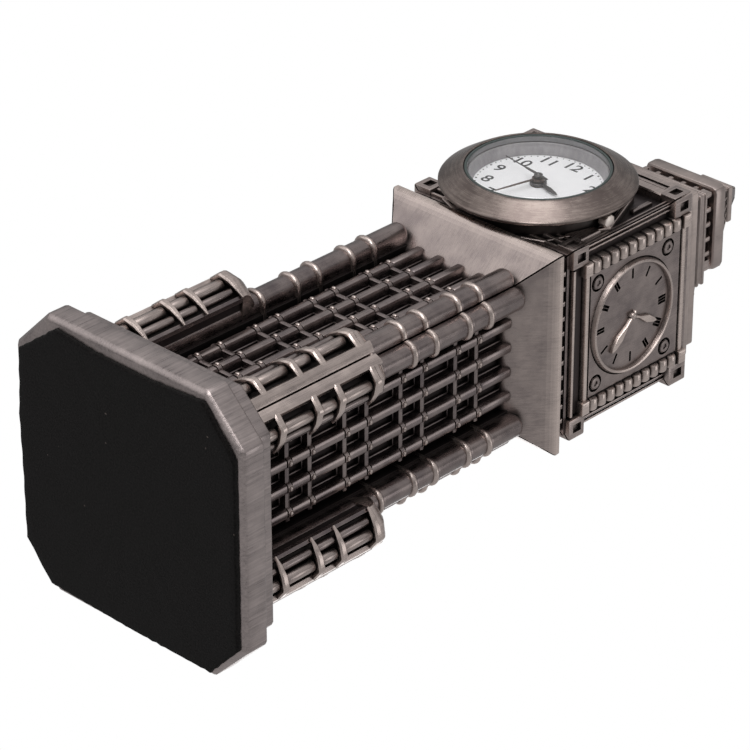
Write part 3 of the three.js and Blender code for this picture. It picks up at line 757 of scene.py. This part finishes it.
def front_stage(cast):
    """Octagonal seat of the watch, a slotted bar above it and plain bars below it."""
    stage_box(cast, True)
    cast.add(turned([(SEAT_HOLE, 16.4), (15.0, 16.4), (15.0, 18.15), (14.9, 18.3), (14.45, 18.3),
                     (SEAT_HOLE, 18.2)], 64, 0, WATCH_Z), 0.1)
    for outer, inner, high, tone in ((17.5, 16.8, 19.0, 0.5), (16.4, 15.95, 18.4, 0.1)):
        octagon_ring = turned([(outer, 17.5), (outer, high - 0.15), (outer - 0.15, high),
                               (inner + 0.15, high), (inner, high - 0.15), (inner, 17.5)],
                              8, 0, WATCH_Z)
        cast.add(mitred(octagon_ring), tone)
    cast.add(block(0, 121.6, 14.85, 0.42, 18.0, 19.3, 0.1), 0.45)
    head = plate([(-15.9, 118.8), (15.9, 118.8), (15.9, STAGE_TOP), (-15.9, STAGE_TOP)],
                 [(17.0, 0.0), (19.2, 0.0), (STAGE_HALF - 0.05, 0.25)])
    cast.add(carved(head, [box(-15.2, 15.2, 18.7, 21.0, 120.8, 122.4)]), 0.55)
    for low, high, out, tone in ((91.1, 91.7, 19.0, 0.6), (92.7, 93.4, 19.2, 0.6),
                                 (94.5, 95.0, 19.0, 0.45)):
        section = arch((high - low) / 2, 17.2, out, 0.2, 4)
        cast.add(bar("x", (low + high) / 2, section, -15.6, 15.6), tone)
    pad = [(13.3, 95.6), (17.2, 95.6), (17.2, 100.8), (15.2, 101.2)]
    cast.mirror(plate(pad, [(17.5, 0), (18.95, 0), (19.15, 0.2)]), 0.42)
    cast.mirror(block(15.2, 114.2, 0.55, 2.6, 17.5, 18.5), 0.25)


# How many strokes mark each hour of a cast clock face, from twelve onwards.
MARK_STROKES = [3, 3, 2, 1, 1, 1, 2, 2, 2, 1, 1, 1]


def dial_field():
    """The square plate of a cast clock face, with its hour marks and rings cut into it."""
    high, depth, clear = 19.2, 18.6, 20.5
    half, pitch, inner, outer = 0.27, 0.6, 7.5, 9.6
    cutters = []
    for hour, strokes in enumerate(MARK_STROKES):
        for stroke in range(strokes):
            shift = (stroke - (strokes - 1) / 2) * pitch
            ring = clockwise([(shift - half, inner), (shift + half, inner),
                              (shift + half, outer), (shift - half, outer)], 30 * hour)
            cutters.append(loft([[(x, out, DIAL_Z + z) for x, z in ring]
                                 for out in (depth, clear)]))
    tube = [(1.25, depth), (1.75, depth), (1.75, clear), (1.25, clear)]
    cutters += [turned(tube, 16, x, z) for x, z in STUDS]
    cutters.append(turned([(11.15, 18.8), (11.5, 18.8), (11.5, clear), (11.15, clear)], 64,
                          0, DIAL_Z))
    verts, faces = carved(box(-12.55, 12.55, 17.5, high, 96.2, 120.9), cutters)
    # Faces cut into the plate get a tone below 0: painted shade in the marks, holes and groove.
    tones = [0.29 if min(verts[i][1] for i in face) > high - 0.01 else -0.3 for face in faces]
    return (verts, faces), tones


def leaf(reach, width, angle, low, high):
    """A leaf-shaped cast hand, seen from outside and turned clockwise from twelve."""
    shape = [(-0.28, -1.0), (0.28, -1.0), (0.3, 0.2), (0.24, 0.28 * reach),
             (0.5 * width, 0.62 * reach), (0.3 * width, 0.9 * reach), (0.1, reach),
             (-0.1, reach), (-0.3 * width, 0.9 * reach), (-0.5 * width, 0.62 * reach),
             (-0.24, 0.28 * reach), (-0.3, 0.2)]
    return loft([[(x, out, DIAL_Z + z) for x, z in clockwise(drawn_in(shape, inset), angle)]
                 for out, inset in ((low, 0.0), (high - 0.15, 0.0), (high, 0.09))])


def side_stage(cast, field):
    """Cast clock face inside a beaded frame."""
    stage_box(cast, False)
    cast.add(*field)
    ring = [(10.35, 19.0), (10.4, 19.7), (10.5, 19.95), (10.75, 20.02), (10.98, 19.92),
            (11.1, 19.6), (11.3, 19.0)]
    cast.add(turned(ring, 72, 0, DIAL_Z), 0.7)
    cast.add(leaf(8.0, 1.7, CAST_HOUR, 18.9, 19.85), 0.95)
    cast.add(leaf(7.4, 1.6, CAST_MINUTE, 18.9, 19.8), 0.95)
    cast.add(dome(0, DIAL_Z, 0.75, 0.75, 18.9, 20.15, 12), 0.7)
    eye = [(0.5, 18.9), (0.5, 19.35), (0.62, 19.5), (1.0, 19.5), (1.15, 19.35), (1.15, 18.9)]
    for x, z in STUDS:
        cast.add(turned(eye, 16, x, z), 0.3)
    for z, half, high, tone in ((91.8, 0.36, 19.2, 0.9), (95.2, 0.5, 19.45, 1.0),
                                (121.95, 0.55, 19.45, 1.0), (123.3, 0.42, 19.0, 0.3)):
        cast.add(bar("x", z, arch(half, 17.3, high, 0.3, 4), -14.9, 14.9), tone)
    # A sheet between the lower bars, and strips behind the beads, are painted dark: painted shade.
    cast.add(box(-15, 15, 17.3, 18.5, 92.5, 94.3), -0.7)
    cast.mirror(box(12.6, 15.35, 17.3, 19.0, 95.4, 121.2), -0.4)
    for end in (95.0, 122.2):
        cast.mirror(block(14.15, end, 1.3, 1.0, 17.3, 19.95, 0.25), 0.95)
    low, lowest, pitch = 17.6, 97.4, 2.46
    bead = arch(1.02, low, 20.1, 0.95, 8, 0.9)
    for i in range(10):
        rings = []
        for x, size in ((12.85, 0.72), (13.0, 0.93), (13.3, 1.0), (15.0, 1.0), (15.3, 0.93),
                        (15.45, 0.72)):
            rings.append([(x, low + (out - low) * size, lowest + pitch * i + across * size)
                          for across, out in bead])
        cast.mirror(loft(rings), 0.8)


def walls():
    """The four wall castings: one with the watch's seat, and three with a cast clock face."""
    field = dial_field()
    for i, name in enumerate(("front_wall", "right_wall", "back_wall", "left_wall")):
        cast = Cast()
        lattice(cast)
        columns(cast)
        turrets(cast)
        collar(cast)
        if name == "front_wall":
            front_stage(cast)
        else:
            side_stage(cast, field)
        cast.piece(name + "_casting", cast_metal, "tower", "dark_pewter", [name], 90 * i, edge=0.1)


# ---------------------------------------------------------------- base

def octagon(half, corner, soft):
    """Plan of an octagonal plate whose corners are slightly rounded."""
    flat = half - corner
    sharp = [(half, -flat), (half, flat), (flat, half), (-flat, half), (-half, flat),
             (-half, -flat), (-flat, -half), (flat, -half)]
    points = []
    for i, here in enumerate(Vector(corner_point) for corner_point in sharp):
        before, after = sharp[i - 1], sharp[(i + 1) % 8]
        for other, pull in ((before, soft), (before, soft * 0.32), (after, soft * 0.32),
                            (after, soft)):
            points.append(tuple(here + (Vector(other) - here).normalized() * pull))
    return points


def base():
    """The plinth: two brushed octagonal tiers with their edges taken off."""
    cast = Cast()
    foot = octagon(27.5, 8.3, 0.9)
    stations = [(0.9, 1.0), (1.0, 0.75), (1.75, 0.05), (1.95, 0.0), (5.6, 0.0), (5.9, 0.1),
                (6.15, 0.4), (6.25, 0.9), (6.25, 2.4)]
    grain = lambda v: (0.8 * v[0], 0.8 * v[1], v[2])
    cast.add(prism(foot, stations), 0.48, grain)
    tier = octagon(24.9, 6.5, 0.9)
    cast.add(prism(tier, [(6.0, 0.0), (9.7, 0.0), (10.0, 0.12), (10.2, 0.45)]), 0.45, grain)
    cast.piece("plinth_casting", base_metal, "tower", "brushed_pewter", ["base_plinth"], edge=0.1,
               angle=40)


# Outline of the felt in x and out.
FELT_PLAN = [(-16.2, 26.0), (-25.6, 19.0), (-26.3, 6.0), (-25.9, -18.6), (-20.0, -25.6),
             (0.0, -26.1), (19.4, -26.0), (26.3, -18.8), (26.4, 0.0), (26.5, 17.6),
             (19.4, 25.9), (6.0, 25.0), (-6.8, 25.1), (-11.8, 25.6)]


def felt_pad():
    """A hand-cut piece of felt: its outline wanders a little, and its edges are soft."""
    points = []
    count = len(FELT_PLAN)
    for i, start in enumerate(FELT_PLAN):
        end = FELT_PLAN[(i + 1) % count]
        steps = max(2, round(math.dist(start, end) / 1.1))
        for k in range(steps):
            t = k / steps
            x, out = start[0] + (end[0] - start[0]) * t, start[1] + (end[1] - start[1]) * t
            wander = 0.07 * math.sin(3.1 * x + 1.3 * out) + 0.05 * math.sin(5.3 * out - 2.2 * x)
            points.append((x * (1 + wander / 26), out * (1 + wander / 26)))
    cast = Cast()
    rings = []
    for z, inset in ((0.88, 0.0), (0.5, -0.05), (0.2, 0.0), (0.06, 0.12), (0.0, 0.4)):
        rings.append([(x, out, z) for x, out in drawn_in(points, inset)])
    for shrink in (0.93, 0.75, 0.5, 0.25):
        rings.append([(x * shrink, out * shrink,
                       0.012 * (1 + math.sin(0.9 * x) * math.cos(1.1 * out))) for x, out in points])
    cast.add(loft(rings), 0.0)
    piece = cast.piece("felt", felt_material(), "tower", "felt", ["felt_pad"], edge=0, angle=80)


# ---------------------------------------------------------------- roof, lantern and spire

def square(half, z, soft):
    """A square ring of points with softened corners."""
    points = []
    for i in range(4):
        c, s = math.cos(math.radians(90 * i)), math.sin(math.radians(90 * i))
        for x, out in ((half - soft, -half), (half - soft * 0.3, -half + soft * 0.3),
                       (half, -half + soft), (half, 0.0)):
            points.append((x * c - out * s, x * s + out * c, z))
    return points


def stack(levels, soft=0.35):
    """A shell through square rings. levels are half widths and heights."""
    return loft([square(half, z, soft) for half, z in levels])


def four_sides(cast, shell, tone):
    """The same detail on all four sides of the tower."""
    verts, faces = shell
    for turn in range(4):
        c, s = math.cos(math.pi / 2 * turn), math.sin(math.pi / 2 * turn)
        cast.add(([(x * c - out * s, x * s + out * c, z) for x, out, z in verts], faces), tone)


def hips(cast, levels, radius, tone):
    """Rolls that run up the four corners of a roof. levels are half widths and heights."""
    rings = []
    for half, z in levels:
        rings.append([(half + radius * math.cos(math.pi / 4 * i),
                       half + radius * math.sin(math.pi / 4 * i), z) for i in range(8)])
    four_sides(cast, loft(rings), tone)


def courses(cast, foot, head, count, tone):
    """Narrow horizontal steps on a sloping roof, between two (half width, z) levels."""
    for i in range(1, count):
        t = i / count
        half, z = foot[0] + (head[0] - foot[0]) * t, foot[1] + (head[1] - foot[1]) * t
        cast.add(stack([(half + 0.02, z - 0.12), (half + 0.22, z), (half - 0.1, z + 0.3)], 0.2),
                 tone)


def roof():
    """The cornice, the steep lower roof with its courses, hips and ribs, and the band above."""
    cast = Cast()
    profile = [(16.6, 124.1), (16.9, 124.25), (16.9, 127.0), (16.6, 127.4), (15.8, 127.5),
               (15.8, 128.0), (15.9, 128.2), (15.9, 129.9), (15.7, 130.1), (14.9, 130.4)]
    cast.add(stack(profile), 0.62)
    slope = [(14.4, 130.3), (9.1, 138.2)]
    cast.add(stack(slope, 0.2), 0.2)
    courses(cast, slope[0], slope[1], 9, 0.3)
    hips(cast, [(14.1, 130.4), (9.0, 138.3)], 0.45, 0.55)
    for x in (-6.2, 0.0, 6.2):
        four_sides(cast, box(x - 0.3, x + 0.3, 8.0, 15.0, 130.0, 131.2), 0.4)
    band = [(9.2, 138.0), (9.7, 138.5), (9.7, 138.9), (9.45, 139.1), (9.45, 139.8), (9.7, 140.0),
            (9.7, 140.45), (9.5, 140.6)]
    cast.add(stack(band), 0.5)
    cast.piece("roof_shell", roof_metal, "tower", "antique_pewter", ["roof_casting"])


def gallery():
    """The arcade under the cap: posts that stand round a core painted near black as shade."""
    cast = Cast()
    half, foot, top = 8.3, 140.9, 143.9
    # The core and the ring under the cap are painted dark: painted shade.
    cast.add(stack([(6.4, foot), (6.4, top)], 0.2), SHADOW)
    cast.add(stack([(half, foot), (half, foot + 0.45)], 0.2), 0.4)
    cast.add(stack([(half - 1.1, top - 0.4), (half - 1.1, top)], 0.2), -0.4)
    gaps = 5
    step = (2 * half - 1.1) / gaps
    for i in range(gaps):
        x = -half + 0.55 + i * step
        four_sides(cast, block(x, foot + 1.4, 0.5, 1.4, 6.0, half, 0.25), 0.6)
    cast.piece("arcade", cast_metal, "tower", "dark_pewter", ["lantern_gallery"])


def spire():
    """The cap slab and the stub of the spire."""
    cast = Cast()
    slab = [(8.3, 144.2), (8.7, 144.45), (8.8, 144.9), (8.8, 146.7), (8.65, 147.15),
            (8.2, 147.4), (7.0, 147.45)]
    cast.add(stack(slab, 1.1), 0.55)
    cast.add(stack([(6.7, 147.2), (6.7, 148.1), (6.3, 149.4)], 0.3), 0.4)
    body = [(6.1, 149.2), (3.3, 154.4), (3.3, 155.9), (2.7, 156.1), (1.15, 159.7), (0.8, 160.2)]
    cast.add(stack(body, 0.25), 0.25)
    courses(cast, body[0], body[1], 5, 0.35)
    hips(cast, [(5.9, 149.2), (3.2, 154.3)], 0.4, 0.6)
    hips(cast, [(2.5, 156.0), (1.0, 159.6)], 0.28, 0.6)
    cast.add(stack([(3.5, 154.3), (3.8, 154.6), (3.8, 155.5), (3.5, 155.8)], 0.3), 0.6)
    for x in (-3.0, 0.0, 3.0):
        rib = [[(x * share - 0.22, 0.0, z), (x * share + 0.22, 0.0, z),
                (x * share + 0.22, half + 0.3, z), (x * share - 0.22, half + 0.3, z)]
               for half, z, share in ((6.1, 149.2, 1.0), (3.3, 154.3, 0.55))]
        four_sides(cast, loft(rib), 0.5)
    cast.piece("spire_casting", roof_metal, "tower", "antique_pewter", ["spire_cap"])


# ---------------------------------------------------------------- watch

def ring_grain(v):
    """Turned brushing: it changes with the distance from the watch's axis."""
    turn = math.atan2(v[2], v[0])
    return (math.hypot(v[0], v[2]) * 1.2, v[1] * 1.2 + 1.5 * math.sin(turn), 9.0 * math.cos(turn))


def watch_piece(name, material, slot, node, shell, tone=0.0, grain=None, angle=32):
    """A fixed piece of the watch."""
    cast = Cast()
    cast.add(shell, tone, grain)
    cast.piece(name, material, "watch", slot, [node], up=WATCH_Z, edge=0, angle=angle)


def watch():
    """The watch's fixed pieces that show, each turned from its profile of radius and out."""
    bezel = [(13.62, 22.2), (17.85, 22.2), (18.12, 22.28), (18.25, 22.45), (18.25, 22.75),
             (18.12, 22.92), (17.8, 23.12), (16.6, 23.86), (15.4, 24.56), (14.5, 25.06),
             (14.1, 25.26), (13.85, 25.32), (13.68, 25.26), (13.62, 25.1)]
    watch_piece("bezel_ring", bezel_metal, "brushed_pewter", "bezel", turned(bezel, 128), 0.05,
                ring_grain, 50)
    seal = [(13.0, 24.0), (13.5, 24.0), (13.5, 25.14), (13.42, 25.22), (13.08, 25.22),
            (13.0, 25.14)]
    watch_piece("crystal_seal", seal_material(), "grey_gasket", "crystal_gasket", turned(seal, 96))
    lens = [(0.02, 24.0), (12.75, 24.0), (12.9, 24.1), (12.9, 24.95), (12.65, 25.2), (0.02, 25.2)]
    watch_piece("crystal_disc", glass_material(), "crystal_glass", "crystal",
                turned(lens, 96, closed=False))
    chapter = [(12.0, 21.72), (13.0, 21.72), (13.0, 23.88), (12.75, 23.88), (12.62, 23.8),
               (12.5, 23.2), (12.42, 23.1), (12.1, 21.95)]
    watch_piece("chapter_ring", finishes["grey_ring"], "grey_ring", "reflector_ring",
                turned(chapter, 96), angle=40)
    face = [(1.5, 21.3), (12.9, 21.3), (12.9, 21.55), (12.85, 21.6), (1.55, 21.6), (1.5, 21.55)]
    watch_piece("dial_plate", finishes["white_dial"], "white_dial", "dial", turned(face, 96))
    hole = 0.75
    tunnel = loft([[(x, STEM_OUT + hole * math.cos(math.pi / 8 * i),
                     hole * math.sin(math.pi / 8 * i)) for i in range(16)] for x in (10.0, 18.0)])
    shell = [(13.1, 12.9), (13.5, 12.9), (13.6, 13.0), (13.6, 18.7), (14.75, 18.7),
             (14.9, 18.85), (14.9, 21.75), (14.75, 21.9), (13.1, 21.9)]
    watch_piece("case_body", case_metal, "dark_pewter", "watch_case",
                carved(turned(shell, 96), [tunnel]), 0.15, ring_grain, 40)


def dial_print():
    """Numbers one to twelve, and a dot for each minute, printed on the dial."""
    cast = Cast()
    low, high = 21.58, 21.625
    for hour in range(1, 13):
        curve = bpy.data.curves.new("number", "FONT")
        curve.body, curve.size = str(hour), NUMBER_SIZE
        # Thickened strokes, but for the four, whose counter would close.
        curve.offset = 0.0 if hour == 4 else 0.035
        curve.align_x, curve.align_y = "CENTER", "CENTER"
        curve.resolution_u = 4
        text = add_object("number", curve)
        mesh = text.evaluated_get(bpy.context.evaluated_depsgraph_get()).to_mesh()
        bm = bmesh.new()
        bm.from_mesh(mesh)
        bmesh.ops.remove_doubles(bm, verts=bm.verts, dist=0.001)
        solid = bmesh.ops.extrude_face_region(bm, geom=bm.faces[:])
        for vert in [g for g in solid["geom"] if isinstance(g, bmesh.types.BMVert)]:
            vert.co.z += high - low
        verts, faces = from_bmesh(bm)
        (cx, cz), = clockwise([(0.0, NUMBER_RADIUS)], 30 * hour)
        cast.add(([(x * 1.1 + cx, low + z, y + cz) for x, y, z in verts], faces), 0.0)
        bpy.data.objects.remove(text)
        bpy.data.curves.remove(curve)
    for minute in range(60):
        (x, z), = clockwise([(0.0, MINUTE_RADIUS)], 6 * minute)
        radius = 0.22 if minute % 5 == 0 else 0.14
        cast.add(turned([(radius, low), (radius, high)], 8, x, z, closed=False), 0.0)
    cast.piece("dial_numbers", finishes["dial_print"], "watch", "dark_hand", [], up=WATCH_Z,
               edge=0)


def hand(kind, finish, slot, angle, out, hub, *blades):
    """A flat watch hand, bevelled along its edges, on a turned hub."""
    cast = Cast()
    for blade in blades:
        cast.add(loft([[(x, out + height, z) for x, z in clockwise(drawn_in(blade, inset), angle)]
                       for height, inset in ((0.0, 0.03), (0.08, 0.0), (0.2, 0.0), (0.25, 0.06))]),
                 0.3)
    cast.add(turned(hub, 40), 0.3)
    cast.piece(kind + "_hand_blade", finishes[finish], kind, slot, [kind + "_hand"], up=WATCH_Z,
               edge=0, angle=40)


def lance(width, neck, reach, start):
    """Outline of a hand that swells to its width and then runs to a point."""
    half = [(neck, start), (neck, reach * 0.32), (width, reach * 0.55),
            (width * 0.55, reach * 0.86), (0.05, reach)]
    return [(-x, r) for x, r in half] + [(x, r) for x, r in reversed(half)]


def hands():
    hub = [(1.17, 21.75), (1.48, 21.75), (1.56, 21.85), (1.56, 22.2), (1.45, 22.3), (1.17, 22.3)]
    hand("hour", "dark_hand", "dark_hand", HOUR, 22.05, hub, lance(0.52, 0.34, 6.3, 1.2))
    hub = [(0.72, 22.42), (1.08, 22.42), (1.18, 22.52), (1.18, 22.95), (1.0, 23.0), (0.72, 23.0)]
    hand("minute", "brown_hand", "dark_hand", MINUTE, 22.75, hub, lance(0.17, 0.2, 9.4, 1.1))
    hub = [(0.34, 23.2), (0.72, 23.2), (0.8, 23.3), (0.8, 23.6), (0.64, 23.72), (0.34, 23.72)]
    needle = [(-0.26, 0.7), (-0.24, 3.2), (-0.08, 4.2), (-0.05, 9.6), (0.05, 9.6), (0.08, 4.2),
              (0.24, 3.2), (0.26, 0.7)]
    tail = [(-0.3, -0.6), (0.3, -0.6), (0.14, -2.6), (-0.14, -2.6)]
    hand("second", "dark_hand", "brown_hand", SECOND, 23.45, hub, needle, tail)


def crown():
    """The fluted winding crown, with a slightly domed end."""
    cast = Cast()
    rings = []
    profile = [(15.4, 0.80), (15.55, 0.96), (15.7, 1.0), (17.05, 1.0), (17.22, 0.95), (17.3, 0.84)]
    flutes = 9
    for x, size in profile:
        ring = []
        for i in range(flutes * 2):
            angle = math.pi * i / flutes
            radius = (1.36 if i % 2 else 1.24) * size
            ring.append((x, STEM_OUT + radius * math.cos(angle), radius * math.sin(angle)))
        rings.append(ring)
    cast.add(loft(rings), 0.95)
    cast.piece("crown_knob", knob_metal, "crown", "brushed_pewter", ["crown"], up=WATCH_Z,
               edge=0.04)


# ---------------------------------------------------------------- inner pieces that stay as made

KEPT = {
    "zinc_steel": ["tie_rod", "tie_rod_nut", "tie_rod_washer"],
    "black_rubber": ["grip_ring", "back_gasket"],
    "ivory_plastic": ["movement_ring"],
    "movement_brass": ["movement_plate", "hour_wheel", "cannon_pinion"],
    "coil_wire": ["drive_coil"],
    "cell_steel": ["second_arbor", "battery", "battery_clip", "case_back", "setting_lever",
                   "winding_stem"],
}


def dress_kept_nodes():
    """Puts its finish on each node of the frame that is shown as the CAD made it."""
    for finish, nodes in KEPT.items():
        for node in nodes:
            materials = frame["nodes"][node].data.materials
            materials.clear()
            materials.append(finishes[finish])


# ---------------------------------------------------------------- camera, floor and light

def camera():
    """The photograph's viewpoint: below the foot, with the tower lying across the picture. It
    was worked out from the corners of the plinth and the clock stage. In metres."""
    data = bpy.data.cameras.new("camera")
    data.sensor_width, data.lens = 36, 183.87
    data.clip_start, data.clip_end = 0.05, 10
    obj = add_object("camera", data)
    right = Vector((0.72137, 0.00064, 0.69255))
    down = Vector((0.33807, 0.87243, -0.35294))
    forward = Vector((-0.60443, 0.48873, 0.62913))
    turn = Matrix((right, -down, -forward)).transposed()
    obj.matrix_world = Matrix.Translation((0.41057, -0.3312, -0.36694)) @ turn.to_4x4()
    bpy.context.scene.camera = obj


def floor():
    """A pale floor that is seen only from above, because the camera looks at the tower's foot."""
    n = Nodes("floor")
    cloud = n.noise(n.place(), 6.0, 3.0)
    paint = n.new("ShaderNodeBsdfPrincipled", {
        "Base Color": n.mix(cloud, (0.78, 0.78, 0.78, 1), (0.84, 0.84, 0.84, 1)),
        "Roughness": n.ramp(cloud, 0, 1, 0.55, 0.7)})
    clear = n.new("ShaderNodeBsdfTransparent")
    side = n.new("ShaderNodeNewGeometry").outputs["Backfacing"]
    mesh = bpy.data.meshes.new("floor")
    size = 2.5
    mesh.from_pydata([(-size, -size, 0), (size, -size, 0), (size, size, 0), (-size, size, 0)], [],
                     [(0, 1, 2, 3)])
    mesh.materials.append(n.finish(n.blend(side, paint, clear)))
    obj = add_object("floor", mesh)
    obj.visible_glossy = obj.visible_diffuse = obj.visible_transmission = False
    obj.visible_shadow = False


def world():
    """A grey studio that brightens behind the camera, and plain white where it is seen."""
    n = Nodes("studio", world=True)
    bpy.context.scene.world = n.owner
    sky = n.new("ShaderNodeTexCoord").outputs["Generated"]
    depth = n.new("ShaderNodeSeparateXYZ", {0: sky}).outputs["Y"]
    ramp = n.new("ShaderNodeValToRGB", {0: n.ramp(depth, 1.0, -1.0)})
    stops = [(0.0, 0.46), (0.25, 0.44), (0.5, 0.28), (0.64, 0.34), (0.73, 0.62), (0.79, 0.50),
             (0.84, 0.44), (0.89, 0.60), (0.95, 0.90), (1.0, 0.95)]
    while len(ramp.color_ramp.elements) < len(stops):
        ramp.color_ramp.elements.new(0.5)
    for element, (position, value) in zip(ramp.color_ramp.elements, stops):
        element.position, element.color = position, (value, value, value, 1)
    glow = n.new("ShaderNodeBackground", {"Color": ramp.outputs[0]})
    white = n.new("ShaderNodeBackground", {"Color": (1, 1, 1, 1)})
    seen = n.new("ShaderNodeLightPath").outputs["Is Camera Ray"]
    n.finish(n.blend(seen, glow, white))


# Each softbox: where it stands and how wide it is, in metres, and its power in watts.
SOFTBOXES = [((0.285, -0.81, -0.32), 0.45, 2.3), ((-0.05, -1.0, 0.10), 0.62, 1.5),
             ((-0.70, -0.72, -0.42), 0.62, 0.6), ((0.85, 0.10, 0.60), 0.5, 0.6),
             ((-0.5, 0.7, 0.6), 0.6, 1.2)]


def softboxes():
    """Round soft lamps that all face the middle of the tower."""
    middle = Vector((0, 0, 0.08))
    for i, (where, size, power) in enumerate(SOFTBOXES):
        data = bpy.data.lights.new(f"softbox_{i}", "AREA")
        data.shape, data.size, data.energy = "DISK", size, power
        obj = add_object(f"softbox_{i}", data)
        obj.location = where
        obj.rotation_mode = "QUATERNION"
        obj.rotation_quaternion = (middle - Vector(where)).to_track_quat("-Z", "Y")


bpy.context.scene.view_settings.view_transform = "Standard"
camera()
walls()
base()
felt_pad()
roof()
gallery()
spire()
watch()
dial_print()
hands()
crown()
dress_kept_nodes()
floor()
world()
softboxes()
